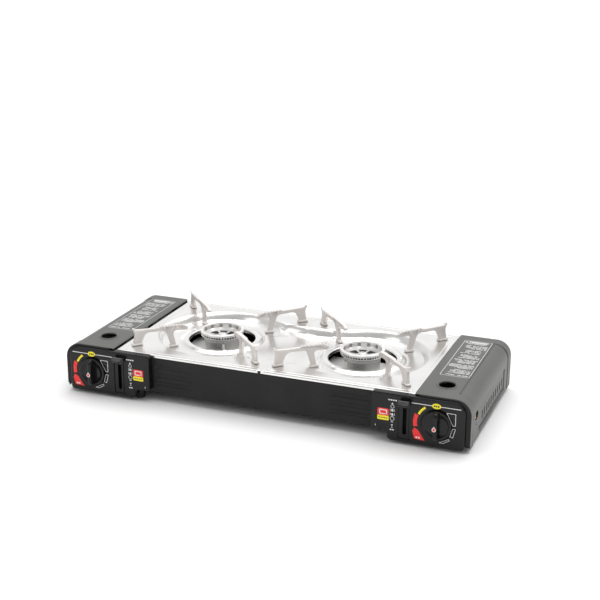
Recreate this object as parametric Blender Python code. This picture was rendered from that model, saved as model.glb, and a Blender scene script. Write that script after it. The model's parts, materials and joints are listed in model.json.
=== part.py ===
"""Twin-burner camping stove that runs on two gas cartridges, one lying in a lidded bay at each end.

Metres, +Z up. X runs along the stove, the cook stands on the -Y side. The origin is under the middle
of the whole stove, on the ground. The two ends are mirror images, apart from the knobs, which both
turn the same way. Every moving piece hangs on an empty that sits on its joint's axis.
"""

from math import atan2, cos, degrees, radians, sin, tan

import bmesh
import bpy
from mathutils import Vector

# Overall sizes, sheet and fits
HALF_LENGTH = 0.3345        # middle to the outer face of a lid
TRAY_HALF_Y = 0.1325        # hob tray, half its depth
TRAY_TOP = 0.0792
FOOT_HEIGHT = 0.016
FOOT_RADIUS = 0.0070
SHEET = 0.001               # steel sheet
GAP = 0.0003                # between pieces that touch
CLEARANCE = 0.0007          # beside a piece that moves
LID_WIDTH = 0.0850          # lid seen from above
BAY_WIDTH = 0.1150          # deeper end of the body
BAY_FLOOR = 0.006
END_LIP = 0.012             # height of the body's folded end, inside the lid

# Hob tray: one recess shared by both burners, with a raised ring round each opening
BURNER_X = 0.1223
RECESS_RADIUS = 0.108
RECESS_NECK = 0.7407 * RECESS_RADIUS    # half the recess's width midway between the burners
RECESS_SLOPE = 0.0095       # run of its sloping wall
RECESS_DEPTH = 0.0109
OPENING_RADIUS = 0.5056 * RECESS_RADIUS
RING_WIDTH = 0.0144         # raised ring, from its outer foot to the opening
RING_RISE = 0.0029
TRAY_LIP = 0.0046           # folded edge of the tray

# Burner, its radii in proportion to the recess
HEAD_RADIUS = 0.3324 * RECESS_RADIUS
HEAD_INNER_RADIUS = 0.2778 * RECESS_RADIUS
HEAD_ABOVE_TRAY = 0.0076
HEAD_HEIGHT = 0.0105
DRUM_RADIUS = 0.2731 * RECESS_RADIUS
DRUM_HEIGHT = 0.0250
BRIDGE_HALF_X = 0.062
BRIDGE_HALF_Y = 0.038
TUBE_RADIUS = 0.0048

# Pan-support arms, four to a burner, on the diagonals
ARM_THICKNESS = 0.0055
ARM_TIP_R = 0.5528 * RECESS_RADIUS      # distances from the burner's middle
ARM_INNER_FOOT_R = 0.7824 * RECESS_RADIUS
ARM_OUTER_FOOT_R = 1.3519 * RECESS_RADIUS
ARM_HEIGHT = 0.0256         # above the tray
HORN_HEIGHT = 0.0050        # above the arm
ARM_PLACES = ((45, "rear_outer"), (135, "rear_inner"), (225, "front_inner"), (315, "front_outer"))

# Gas cartridge, which the bay is made for
CARTRIDGE_RADIUS = 0.0342

# Lid
LID_ABOVE_TRAY = 0.0033
LID_BOTTOM = 0.0075
LID_SHOULDER = 0.024
LID_HOLE_RADIUS = 0.0125
LID_HOLE_SETBACK = 0.0483   # from the lid's front edge
VENTS = 10
VENT_PITCH = 0.0148
VENT_WIDTH = 0.0052
VENT_LOW = 0.0235
VENT_HIGH = 0.0385
VENT_MIDDLE_Y = 0.008
PORT_SETBACK = 0.0365       # side opening over the regulator screw, from the lid's front edge
PORT_Z = 0.0465
HINGE_PIN_RADIUS = 0.0012
KNUCKLE_RADIUS = 0.0028
KNUCKLE_LENGTH = 0.020

# Control panel
PANEL_DEPTH = 0.0120        # its face stands this far before the tray's edge
PANEL_LENGTH = 0.1430
PANEL_BOTTOM = 0.0045
PANEL_STEP_Z = 0.0200
PANEL_WALL = 0.0020
FRAME_WIDTH = 0.0075        # black rim outside the panel
FLANGE = 0.0027             # rim's flange before the lid's edge
KNOB_Z = 0.0406
KNOB_RADIUS = 0.0223
KNOB_SKIRT = 0.0048         # thickness of its disc before the panel's face
KNOB_GRIP_HEIGHT = 0.0088
KNOB_GRIP_WIDTH = 0.0100
SPINDLE_RADIUS = 0.0035
VALVE_RADIUS = 0.0170
VALVE_LENGTH = 0.0380
OUTLET_HALF = 0.0115

# Cartridge lever and pusher
LEVER_THICKNESS = 0.0036
LEVER_WIDTH = 0.0060
LEVER_PIVOT_DEPTH = 0.0265  # behind the panel's face
LEVER_PIVOT_Z = 0.0420
LEVER_PIN_RADIUS = 0.0020
LEVER_REST = radians(38)    # above level
LEVER_SWING = radians(74)
LEVER_TAB_START = 0.0380
LEVER_TAB_END = 0.0470
LEVER_TAB_WIDTH = 0.0150
LEVER_TAB_HEIGHT = 0.0080
CRANK_RADIUS = 0.0066
CRANK_PIN_RADIUS = 0.0015
PUSHER_THICKNESS = 0.0030
PUSHER_HEIGHT = 0.0105
PUSHER_PLATE = 0.0020       # thickness of the plate behind the cartridge
PUSHER_TO_WALL = 0.0197     # from the pusher's plate to the back wall

# Places that follow from the sizes above
LID_TOP = TRAY_TOP + LID_ABOVE_TRAY
LID_INNER_X = HALF_LENGTH - LID_WIDTH
TRAY_HALF_X = LID_INNER_X - 0.0018
HINGE_X = LID_INNER_X + 0.0040
HINGE_Z = LID_TOP - SHEET - 0.0025
WALL_Y = TRAY_HALF_Y - SHEET - GAP
LID_FRONT_Y = -TRAY_HALF_Y - 0.0060
LID_BACK_Y = TRAY_HALF_Y - 0.0025
BAY_INNER_X = HALF_LENGTH - BAY_WIDTH
PARTITION_X = LID_INNER_X - 0.0035
CARTRIDGE_X = HALF_LENGTH - LID_WIDTH / 2 - 0.0020
CARTRIDGE_Z = BAY_FLOOR + 2 * SHEET + CARTRIDGE_RADIUS + 5 * GAP
LID_HOLE_X = HALF_LENGTH - 0.0500
LID_HOLE_Y = LID_FRONT_Y + LID_HOLE_SETBACK
PORT_Y = LID_FRONT_Y + PORT_SETBACK
PANEL_FRONT_Y = -TRAY_HALF_Y - PANEL_DEPTH
PANEL_OUTER_X = HALF_LENGTH - FRAME_WIDTH
PANEL_INNER_X = PANEL_OUTER_X - PANEL_LENGTH
PANEL_STEP_X = BAY_INNER_X - 0.0100
PANEL_TOP = LID_TOP - 0.0030
KNOB_X = HALF_LENGTH - 0.0494
KNOB_FACE_Y = PANEL_FRONT_Y - KNOB_SKIRT
VALVE_FRONT_Y = PANEL_FRONT_Y + 0.0165
VALVE_BACK_Y = VALVE_FRONT_Y + VALVE_LENGTH
LEVER_X = LID_INNER_X - 0.0133
LEVER_PIVOT_Y = PANEL_FRONT_Y + LEVER_PIVOT_DEPTH
PUSHER_X = LID_INNER_X + 0.0010
PUSHER_PLATE_Y = WALL_Y - PUSHER_TO_WALL
RECESS_FLOOR = TRAY_TOP - RECESS_DEPTH
HEAD_TOP = TRAY_TOP + HEAD_ABOVE_TRAY
DRUM_TOP = HEAD_TOP - HEAD_HEIGHT - GAP
DRUM_BOTTOM = DRUM_TOP - DRUM_HEIGHT
ARM_TOP = TRAY_TOP + ARM_HEIGHT
TUBE_Z = FOOT_HEIGHT + SHEET + TUBE_RADIUS + GAP
LEVER_REACH = LEVER_TAB_END * cos(LEVER_REST) + LEVER_TAB_HEIGHT / 2 * sin(LEVER_REST) - LEVER_PIVOT_Y
KNOB_REACH = KNOB_GRIP_HEIGHT - KNOB_FACE_Y
SHIFT_Y = (max(LEVER_REACH, KNOB_REACH) - TRAY_HALF_Y) / 2
SIDES = (("left", -1), ("right", 1))


def material(name, colour, roughness, metallic=0.0):
    """A Principled material of one colour."""
    made = bpy.data.materials.new(name)
    made.use_nodes = True
    shader = made.node_tree.nodes["Principled BSDF"]
    shader.inputs["Base Color"].default_value = (*colour, 1.0)
    shader.inputs["Roughness"].default_value = roughness
    shader.inputs["Metallic"].default_value = metallic
    made.diffuse_color = (*colour, 1.0)
    return made


def empty(name, place):
    """An empty on a joint's axis, which its moving pieces hang on."""
    made = bpy.data.objects.new(name, None)
    made.location = Vector(place) + Vector((0, SHIFT_Y, 0))
    bpy.context.scene.collection.objects.link(made)
    return made


def finish(bm, name, finish_material, pivot=None, smooth=True):
    """The object of a bmesh whose points are in the stove's own frame, hung on its pivot if it has one."""
    bmesh.ops.recalc_face_normals(bm, faces=bm.faces)
    origin = pivot.location if pivot else Vector((0, SHIFT_Y, 0))
    offset = Vector((0, SHIFT_Y, 0)) - origin
    bmesh.ops.translate(bm, verts=bm.verts, vec=offset)
    mesh = bpy.data.meshes.new(name)
    bm.to_mesh(mesh)
    bm.free()
    if smooth:
        mesh.shade_smooth()
        mesh.set_sharp_from_angle(angle=radians(35))
    made = bpy.data.objects.new(name, mesh)
    if pivot:
        made.parent = pivot
    else:
        made.location = origin
    if finish_material:
        mesh.materials.append(finish_material)
    bpy.context.scene.collection.objects.link(made)
    return made


def cutter(bm, name, pivot=None):
    """A shape that only cuts or joins others."""
    made = finish(bm, name, None, pivot, smooth=False)
    made.hide_render = True
    made.display_type = "WIRE"
    return made


def combine(target, tool, operation="DIFFERENCE"):
    """Cuts the tool out of the target, or joins it on."""
    modifier = target.modifiers.new(operation.title(), "BOOLEAN")
    modifier.operation = operation
    modifier.object = tool
    return target


def arc(centre, radius, start, end, steps):
    """Points of an arc, its angles in degrees."""
    turns = [radians(start + (end - start) * i / steps) for i in range(steps + 1)]
    return [(centre[0] + radius * cos(t), centre[1] + radius * sin(t)) for t in turns]


def circle(centre, radius, steps):
    return arc(centre, radius, 0, 360 * (steps - 1) / steps, steps - 1)


def rectangle(low, high):
    return [low, (high[0], low[1]), high, (low[0], high[1])]


def inset(points, distance):
    """The outline moved inwards by a distance, each corner along its mitre. It runs anticlockwise."""
    moved = []
    for i, here in enumerate(points):
        here = Vector(here)
        before = (here - Vector(points[i - 1])).normalized()
        after = (Vector(points[(i + 1) % len(points)]) - here).normalized()
        normal = Vector((-before.y - after.y, before.x + after.x)).normalized()
        reach = max(0.3, normal.dot(Vector((-before.y, before.x))))
        moved.append(tuple(here + normal * distance / reach))
    return moved


def along(axis, across, height):
    """A point from its place across an axis and its height along it."""
    if axis == "X":
        return Vector((height, *across))
    if axis == "Y":
        return Vector((across[0], height, across[1]))
    return Vector((*across, height))


def loft(bm, axis, rings):
    """A closed solid through outlines of equal count, given as (height, points)."""
    made = [[bm.verts.new(along(axis, p, height)) for p in points] for height, points in rings]
    for low, high in zip(made, made[1:]):
        for i in range(len(low)):
            j = (i + 1) % len(low)
            bm.faces.new((low[i], low[j], high[j], high[i]))
    bm.faces.new(made[0])
    bm.faces.new(made[-1])
    return bm


def prism(axis, points, low, high, bm=None):
    """An outline carried straight along an axis."""
    return loft(bm or bmesh.new(), axis, [(low, points), (high, points)])


def box(low, high, bm=None):
    return prism("Z", rectangle(low[:2], high[:2]), low[2], high[2], bm)


def turned(profile, steps, axis="Z", place=(0, 0, 0), bm=None):
    """A closed profile of (radius, height) turned about an axis. A radius of 0 is a point on the axis."""
    bm = bm or bmesh.new()
    rings = []
    for radius, height in profile:
        points = circle((0, 0), radius, steps) if radius else [(0, 0)]
        rings.append([bm.verts.new(along(axis, p, height) + Vector(place)) for p in points])
    for low, high in zip(rings, rings[1:] + rings[:1]):
        for i in range(steps):
            j = (i + 1) % steps
            corners = [low[i % len(low)], low[j % len(low)], high[j % len(high)], high[i % len(high)]]
            corners = list(dict.fromkeys(corners))
            if len(corners) > 2:
                bm.faces.new(corners)
    return bm


def mirrored(points, side):
    """An outline drawn for the right end, for the given end."""
    return [(side * x, y) for x, y in points]


# Finishes
BLACK_PAINT = material("black paint", (0.035, 0.036, 0.036), 0.45)
GLOSS_BLACK = material("glossy black plastic", (0.012, 0.012, 0.013), 0.18)
LID_PAINT = material("grey-olive paint", (0.110, 0.112, 0.102), 0.42)
POLISHED = material("polished stainless", (0.80, 0.80, 0.79), 0.12, 1.0)
ARM_ENAMEL = material("warm grey enamel", (0.60, 0.56, 0.53), 0.40)
ALUMINIUM = material("cast aluminium", (0.75, 0.75, 0.74), 0.30, 1.0)
DULL_STEEL = material("dull steel", (0.42, 0.42, 0.43), 0.40, 1.0)
GALVANISED = material("galvanised steel", (0.62, 0.63, 0.63), 0.35, 1.0)
BRASS = material("brass", (0.72, 0.52, 0.24), 0.25, 1.0)
CERAMIC = material("white ceramic", (0.85, 0.84, 0.80), 0.30)
RUBBER = material("black rubber", (0.02, 0.02, 0.02), 0.80)
ZINC_CASTING = material("zinc casting", (0.50, 0.50, 0.51), 0.45, 1.0)


def lid_line(offset, steps=6):
    """The lid's section from its inner top edge round the shoulder to its bottom, moved inwards."""
    centre = (HALF_LENGTH - LID_SHOULDER, LID_TOP - LID_SHOULDER)
    corner = arc(centre, LID_SHOULDER - offset, 90, 0, steps)
    return [(LID_INNER_X, LID_TOP - offset), *corner, (HALF_LENGTH - offset, LID_BOTTOM)]


def wall_outline(side):
    """Half of the body's front and back wall, from the middle of its foot line round to its top."""
    corner = arc((HALF_LENGTH - LID_SHOULDER, LID_TOP - LID_SHOULDER),
                 LID_SHOULDER - SHEET - CLEARANCE, 0, 90, 6)
    ear = arc((HINGE_X, HINGE_Z), KNUCKLE_RADIUS - 0.0006, 90, 132, 2)
    outer = corner[0][0]
    sweep = HINGE_X - LID_INNER_X + 0.002
    points = [(0, FOOT_HEIGHT), (BAY_INNER_X - 0.0005, FOOT_HEIGHT), (BAY_INNER_X + 0.001, BAY_FLOOR)]
    points += [(outer, BAY_FLOOR), *corner[:-1], (corner[-1][0], LID_TOP - SHEET - CLEARANCE)]
    points += [(HINGE_X + 0.004, LID_TOP - SHEET - CLEARANCE), (HINGE_X + 0.003, ear[0][1]), *ear]
    points += [(ear[-1][0], HINGE_Z - sweep), (TRAY_HALF_X - SHEET - GAP, HINGE_Z - sweep)]
    points += [(TRAY_HALF_X - SHEET - GAP, TRAY_TOP - SHEET - GAP), (0, TRAY_TOP - SHEET - GAP)]
    return mirrored(points, side)


def base_pan():
    """Folded sheet body: floor, front wall and back wall in one, its end bays deeper than its middle."""
    left = wall_outline(-1)[1:-1]
    outline = wall_outline(1)[1:-1] + left[::-1]
    body = finish(prism("Y", outline, -WALL_Y, WALL_Y), "base_pan", BLACK_PAINT)
    rim = HALF_LENGTH - SHEET - CLEARANCE
    half = [(BAY_INNER_X - 0.0005, FOOT_HEIGHT + SHEET), (BAY_INNER_X + 0.001 + SHEET, BAY_FLOOR + SHEET)]
    half += [(rim - SHEET, BAY_FLOOR + SHEET), (rim - SHEET, BAY_FLOOR + END_LIP)]
    half += [(rim + 0.01, BAY_FLOOR + END_LIP), (rim + 0.01, LID_TOP + 0.01)]
    inside = half + mirrored(half, -1)[::-1]
    combine(body, cutter(prism("Y", inside, SHEET - WALL_Y, WALL_Y - SHEET), "pan_inside"))
    windows = bmesh.new()
    pins = bmesh.new()
    for _, side in SIDES:
        xs = sorted((side * (BAY_INNER_X + 0.006), side * (PANEL_OUTER_X - 0.007)))
        low = (xs[0], -WALL_Y - 0.002, BAY_FLOOR + 0.005)
        box(low, (xs[1], -WALL_Y + 0.003, PANEL_TOP - 0.012), windows)
        bore, end = HINGE_PIN_RADIUS + GAP, WALL_Y + 0.008
        hole = [(0, -end), (bore, -end), (bore, end), (0, end)]
        turned(hole, 10, "Y", (side * HINGE_X, 0, HINGE_Z), pins)
    combine(body, cutter(windows, "panel_windows"))
    combine(body, cutter(pins, "hinge_pin_holes"))


def feet():
    """Four rubber feet under the middle of the body, beside the deeper bays."""
    profile = [(0, 0), (FOOT_RADIUS - 0.0008, 0), (FOOT_RADIUS, 0.0010), (FOOT_RADIUS, FOOT_HEIGHT - GAP)]
    profile += [(0, FOOT_HEIGHT - GAP)]
    for name, side in SIDES:
        for end, y in (("front", -1), ("rear", 1)):
            place = (side * (BAY_INNER_X - FOOT_RADIUS - 0.0015), y * (WALL_Y - FOOT_RADIUS), 0)
            finish(turned(profile, 16, "Z", place), f"foot_{end}_{name}", RUBBER)


def recess_outline(offset, steps=18):
    """The recess seen from above: a circle round each burner, joined by two hollow arcs that touch both."""
    join = (BURNER_X ** 2 + RECESS_NECK ** 2 - RECESS_RADIUS ** 2) / (2 * (RECESS_RADIUS - RECESS_NECK))
    reach = RECESS_NECK + join
    touch = degrees(atan2(reach, BURNER_X))
    radius = RECESS_RADIUS - offset
    right = arc((BURNER_X, 0), radius, touch - 180, 180 - touch, steps)
    back = arc((0, reach), join + offset, -touch, touch - 180, 6)
    left = arc((-BURNER_X, 0), radius, touch, 360 - touch, steps)
    front = arc((0, -reach), join + offset, 180 - touch, touch, 6)
    return right + back[1:-1] + left + front[1:-1]


def closed_edges(bm, points, height):
    """A ring of vertices at a height, with the edges between them."""
    ring = [bm.verts.new((*point, height)) for point in points]
    return ring, [bm.edges.new((a, b)) for a, b in zip(ring, ring[1:] + ring[:1])]


def bridge(bm, outer, inner):
    """Faces between two rings of equal count."""
    for i in range(len(outer)):
        j = (i + 1) % len(outer)
        bm.faces.new((outer[i], outer[j], inner[j], inner[i]))


def hob_tray(lift):
    """One pressed sheet: flat rim with a folded edge, the shared recess, and a ring round each opening."""
    bm = bmesh.new()
    rim = rectangle((-TRAY_HALF_X, -TRAY_HALF_Y), (TRAY_HALF_X, TRAY_HALF_Y))
    fold, _ = closed_edges(bm, rim, TRAY_TOP - TRAY_LIP)
    edge, edge_lines = closed_edges(bm, rim, TRAY_TOP)
    shore, shore_lines = closed_edges(bm, recess_outline(0), TRAY_TOP)
    floor, floor_lines = closed_edges(bm, recess_outline(RECESS_SLOPE), RECESS_FLOOR)
    bridge(bm, fold, edge)
    bridge(bm, shore, floor)
    bmesh.ops.triangle_fill(bm, edges=edge_lines + shore_lines, use_beauty=True, normal=(0, 0, 1))
    lines = floor_lines
    crest = RECESS_FLOOR + RING_RISE
    ring = [(OPENING_RADIUS + RING_WIDTH, RECESS_FLOOR), (OPENING_RADIUS + RING_WIDTH - 0.006, crest)]
    ring += [(OPENING_RADIUS + 0.002, crest), (OPENING_RADIUS, crest - 0.002)]
    ring += [(OPENING_RADIUS, crest - 0.006)]
    for _, side in SIDES:
        made = [closed_edges(bm, circle((side * BURNER_X, 0), r, 32), z) for r, z in ring]
        for (outer, _), (inner, _) in zip(made, made[1:]):
            bridge(bm, outer, inner)
        lines = lines + made[0][1]
    bmesh.ops.triangle_fill(bm, edges=lines, use_beauty=True, normal=(0, 0, 1))
    tray = finish(bm, "hob_tray", POLISHED, lift)
    sheet = tray.modifiers.new("Sheet", "SOLIDIFY")
    sheet.thickness = SHEET
    sheet.offset = -1
    sheet.use_even_offset = True


def arm_outline():
    """Side of a pan support as (distance from its burner, height): two legs, a bar and a raised horn."""
    inner, outer, top = ARM_INNER_FOOT_R, ARM_OUTER_FOOT_R, ARM_TOP
    inner_foot, outer_foot = RECESS_FLOOR + 0.0003, TRAY_TOP + 0.0003
    tip = arc((ARM_TIP_R + 0.0025, top - 0.0070), 0.0025, 260, 110, 4)
    horn = arc((outer + 0.0061, top + HORN_HEIGHT - 0.0017), 0.0017, 160, -20, 4)
    collar, high = 0.0098, 0.0030
    points = [(outer + collar, outer_foot), (outer + collar, outer_foot + high)]
    points += [(outer + 0.0068, outer_foot + high + 0.0006), (outer + 0.0035, top - 0.0065)]
    points += [(outer + 0.0045, top - 0.0005), *horn[::-1], (outer + 0.0020, top + 0.0014)]
    points += [(outer - 0.0230, top + 0.0003), (inner + 0.0120, top), (ARM_TIP_R + 0.0160, top - 0.0010)]
    points += [*tip[::-1], (ARM_TIP_R + 0.0140, top - 0.0090), (inner + 0.0010, top - 0.0100)]
    points += [(inner + 0.0022, top - 0.0130), (inner - 0.0045, inner_foot + high + 0.0006)]
    points += [(inner - 0.0085, inner_foot + high), (inner - 0.0085, inner_foot)]
    points += [(inner + 0.0085, inner_foot), (inner + 0.0085, inner_foot + high)]
    points += [(inner + 0.0062, inner_foot + high + 0.0006), (inner + 0.0140, top - 0.0085)]
    points += [(inner + 0.0175, top - 0.0066), (outer - 0.0185, top - 0.0056)]
    points += [(outer - 0.0150, top - 0.0085)]
    points += [(outer - 0.0092, outer_foot + high + 0.0006), (outer - 0.0098, outer_foot + high)]
    return points + [(outer - 0.0098, outer_foot)]


def pan_arms(lift):
    """The eight arms share one mesh and are turned about their burner."""
    arm = prism("Y", arm_outline(), -ARM_THICKNESS / 2, ARM_THICKNESS / 2)
    pattern = finish(arm, "arm_pattern", ARM_ENAMEL, lift)
    bpy.context.scene.collection.objects.unlink(pattern)
    for name, side in SIDES:
        for turn, corner in ARM_PLACES:
            if side < 0:
                turn = 180 - turn
            made = bpy.data.objects.new(f"pan_arm_{corner}_{name}", pattern.data)
            made.parent = lift
            made.location = (side * BURNER_X, 0, 0)
            made.rotation_euler = (0, 0, radians(turn))
            bpy.context.scene.collection.objects.link(made)
    bpy.data.objects.remove(pattern)


def tray_bumper(lift):
    """Small rubber stop before the middle of the tray's front edge."""
    back = -TRAY_HALF_Y - GAP
    front = back - 0.001
    profile = [(0, front), (0.0022, front), (0.0022, back), (0, back)]
    finish(turned(profile, 12, "Y", (0, 0, TRAY_TOP - TRAY_LIP / 2)), "tray_bumper", RUBBER, lift)


def burner(name, side):
    """Ring head on a drum, the drum standing on a bridge over the body's floor."""
    centre = (side * BURNER_X, 0, 0)
    bottom = HEAD_TOP - HEAD_HEIGHT
    outer, inner = HEAD_RADIUS, HEAD_INNER_RADIUS
    profile = [(0, bottom), (outer - 0.0060, bottom), (outer - 0.0010, bottom + 0.0022)]
    profile += [(outer - 0.0010, HEAD_TOP - 0.0030), (outer, HEAD_TOP - 0.0026), (outer, HEAD_TOP - 0.0008)]
    profile += [(outer - 0.0010, HEAD_TOP), (inner + 0.0012, HEAD_TOP), (inner, HEAD_TOP - 0.0012)]
    profile += [(inner - 0.0012, bottom + 0.0024), (0.0100, bottom + 0.0024), (0.0080, bottom + 0.0050)]
    profile += [(0, bottom + 0.0058)]
    head = finish(turned(profile, 32, "Z", centre), f"burner_head_{name}", ALUMINIUM)
    windows = bmesh.new()
    for k in range(8):
        middle = 45 * k + 22.5
        out = arc(centre[:2], inner - 0.0028, middle - 15, middle + 15, 4)
        back = arc(centre[:2], 0.0125, middle + 9, middle - 9, 2)
        prism("Z", out + back, bottom - 0.001, bottom + 0.0045, windows)
    combine(head, cutter(windows, f"head_windows_{name}"))

    top = DRUM_TOP
    wall = 0.0015
    bore = TUBE_RADIUS + 0.0018
    profile = [(bore, DRUM_BOTTOM), (DRUM_RADIUS - 0.0012, DRUM_BOTTOM), (DRUM_RADIUS, top)]
    profile += [(DRUM_RADIUS - wall, top), (DRUM_RADIUS - 0.0012 - wall, DRUM_BOTTOM + wall)]
    profile += [(bore, DRUM_BOTTOM + wall)]
    finish(turned(profile, 28, "Z", centre), f"burner_drum_{name}", DULL_STEEL)

    half, top, foot = BRIDGE_HALF_X, DRUM_BOTTOM - GAP, FOOT_HEIGHT + SHEET + GAP
    outline = [(half + 0.010, foot), (half + 0.010, foot + SHEET), (half + SHEET, foot + SHEET)]
    outline += [(half + SHEET, top - 0.001), (half, top)]
    outline += [(-x, z) for x, z in outline[::-1]]
    outline += [(-half, foot), (-half, top - SHEET), (half, top - SHEET), (half, foot)]
    shifted = [(x + side * BURNER_X, z) for x, z in outline]
    support = prism("Y", shifted, -BRIDGE_HALF_Y, BRIDGE_HALF_Y)
    support = finish(support, f"burner_bridge_{name}", GALVANISED)
    hole = [(0, top - 0.003), (bore, top - 0.003), (bore, top + 0.001), (0, top + 0.001)]
    combine(support, cutter(turned(hole, 20, "Z", centre), f"bridge_hole_{name}"))

    low = DRUM_BOTTOM + 0.0045
    stem = [(0, low), (0.0030, low), (0.0030, low + 0.0040), (0.0021, low + 0.0046)]
    stem += [(0.0021, DRUM_TOP - 0.0025), (0.0006, DRUM_TOP - 0.0018)]
    stem += [(0.0006, DRUM_TOP + 0.0006), (0, DRUM_TOP + 0.0006)]
    place = (side * (BURNER_X - 0.0165), -DRUM_RADIUS - 0.0025, 0)
    finish(turned(stem, 10, "Z", place), f"electrode_{name}", CERAMIC)


def mixing_tube(name, side):
    """Gas tube from the valve to the burner: low along the floor, then up through the bridge."""
    start, y = KNOB_X - OUTLET_HALF - GAP, VALVE_BACK_Y - 0.0075
    route = [(start, y, TUBE_Z), (BAY_INNER_X + 0.0200, y, TUBE_Z), (BAY_INNER_X, y + 0.0075, TUBE_Z)]
    route += [(BURNER_X + 0.0480, -0.0440, TUBE_Z), (BURNER_X + 0.0200, -0.0180, TUBE_Z)]
    route += [(BURNER_X + 0.0050, -0.0040, TUBE_Z + 0.0070), (BURNER_X, 0, DRUM_BOTTOM - 0.0070)]
    route += [(BURNER_X, 0, DRUM_BOTTOM + 0.0030)]
    curve = bpy.data.curves.new(f"mixing_tube_{name}", "CURVE")
    curve.dimensions = "3D"
    curve.bevel_depth = TUBE_RADIUS
    curve.bevel_resolution = 2
    curve.use_fill_caps = True
    curve.resolution_u = 3
    line = curve.splines.new("NURBS")
    line.points.add(len(route) - 1)
    for point, (x, y, z) in zip(line.points, route):
        point.co = (side * x, y, z, 1)
    line.use_endpoint_u = True
    line.order_u = 3
    curve.materials.append(DULL_STEEL)
    made = bpy.data.objects.new(f"mixing_tube_{name}", curve)
    made.location = (0, SHIFT_Y, 0)
    bpy.context.scene.collection.objects.link(made)


def gas_valve(name, side):
    """Regulator and tap in one casting, a brass inlet towards the cartridge and a screw towards the lid."""
    x = side * KNOB_X
    front, back = VALVE_FRONT_Y, VALVE_BACK_Y
    radius = VALVE_RADIUS
    bore = SPINDLE_RADIUS + 2 * GAP
    profile = [(bore, front), (radius - 0.002, front), (radius, front + 0.002), (radius, back - 0.003)]
    profile += [(radius - 0.003, back), (0, back), (0, front + 0.0160), (bore, front + 0.0160)]
    body = turned(profile, 24, "Y", (x, 0, KNOB_Z))
    valve = finish(body, f"gas_valve_{name}", ZINC_CASTING)
    low = (x - OUTLET_HALF, front + 0.020, TUBE_Z - TUBE_RADIUS)
    high = (x + OUTLET_HALF, back - 0.001, KNOB_Z - 0.006)
    combine(valve, cutter(box(low, high), f"valve_outlet_{name}"), "UNION")

    profile = [(0, back + GAP), (0.0075, back + GAP), (0.0075, back + 0.0043), (0.0045, back + 0.0050)]
    profile += [(0.0045, back + 0.0105), (0, back + 0.0105)]
    place = (side * CARTRIDGE_X, 0, CARTRIDGE_Z)
    finish(turned(profile, 16, "Y", place), f"gas_inlet_{name}", BRASS)

    start = KNOB_X + radius + GAP
    end = HALF_LENGTH - SHEET - 0.0022
    profile = [(0, start), (0.0052, start), (0.0052, start + 0.0100), (0.0072, start + 0.0106)]
    profile += [(0.0072, end - 0.0008), (0.0064, end), (0, end)]
    if side < 0:
        profile = [(radius, -height) for radius, height in profile[::-1]]
    place = (0, PORT_Y + 0.0030, PORT_Z - 0.0035)
    finish(turned(profile, 12, "X", place), f"regulator_screw_{name}", BRASS)

    xs = sorted((side * (KNOB_X + OUTLET_HALF + 0.0024), side * (KNOB_X + OUTLET_HALF + 0.0224)))
    low = BAY_FLOOR + SHEET + GAP
    igniter = box((xs[0], front + 0.0005, low), (xs[1], front + 0.0270, low + 0.0142))
    made = finish(igniter, f"igniter_{name}", GLOSS_BLACK)
    bevel = made.modifiers.new("Round edges", "BEVEL")
    bevel.width = 0.0015
    bevel.segments = 2


def bay(name, side):
    """What holds the cartridge: a wall towards the burner and a curved rest under it."""
    floor = BAY_FLOOR + SHEET + GAP
    x = PARTITION_X
    outline = [(x, floor), (x + 0.008, floor), (x + 0.008, floor + SHEET), (x + SHEET, floor + SHEET)]
    top = RECESS_FLOOR - SHEET + 0.0047
    outline += [(x + SHEET, top), (x, top)]
    ends = (VALVE_BACK_Y + 0.0050, WALL_Y - SHEET - GAP)
    finish(prism("Y", mirrored(outline, side), *ends), f"partition_{name}", GALVANISED)

    radius = CARTRIDGE_RADIUS + 2 * GAP
    centre = (CARTRIDGE_X, CARTRIDGE_Z)
    inner = arc(centre, radius, 222, 318, 10)
    outer = arc(centre, radius + SHEET, 318, 222, 10)
    outline = mirrored(inner + outer, side)
    ends = (VALVE_BACK_Y + 0.0300, PUSHER_PLATE_Y - 0.0110)
    finish(prism("Y", outline, *ends), f"cartridge_rest_{name}", ALUMINIUM)


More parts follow.
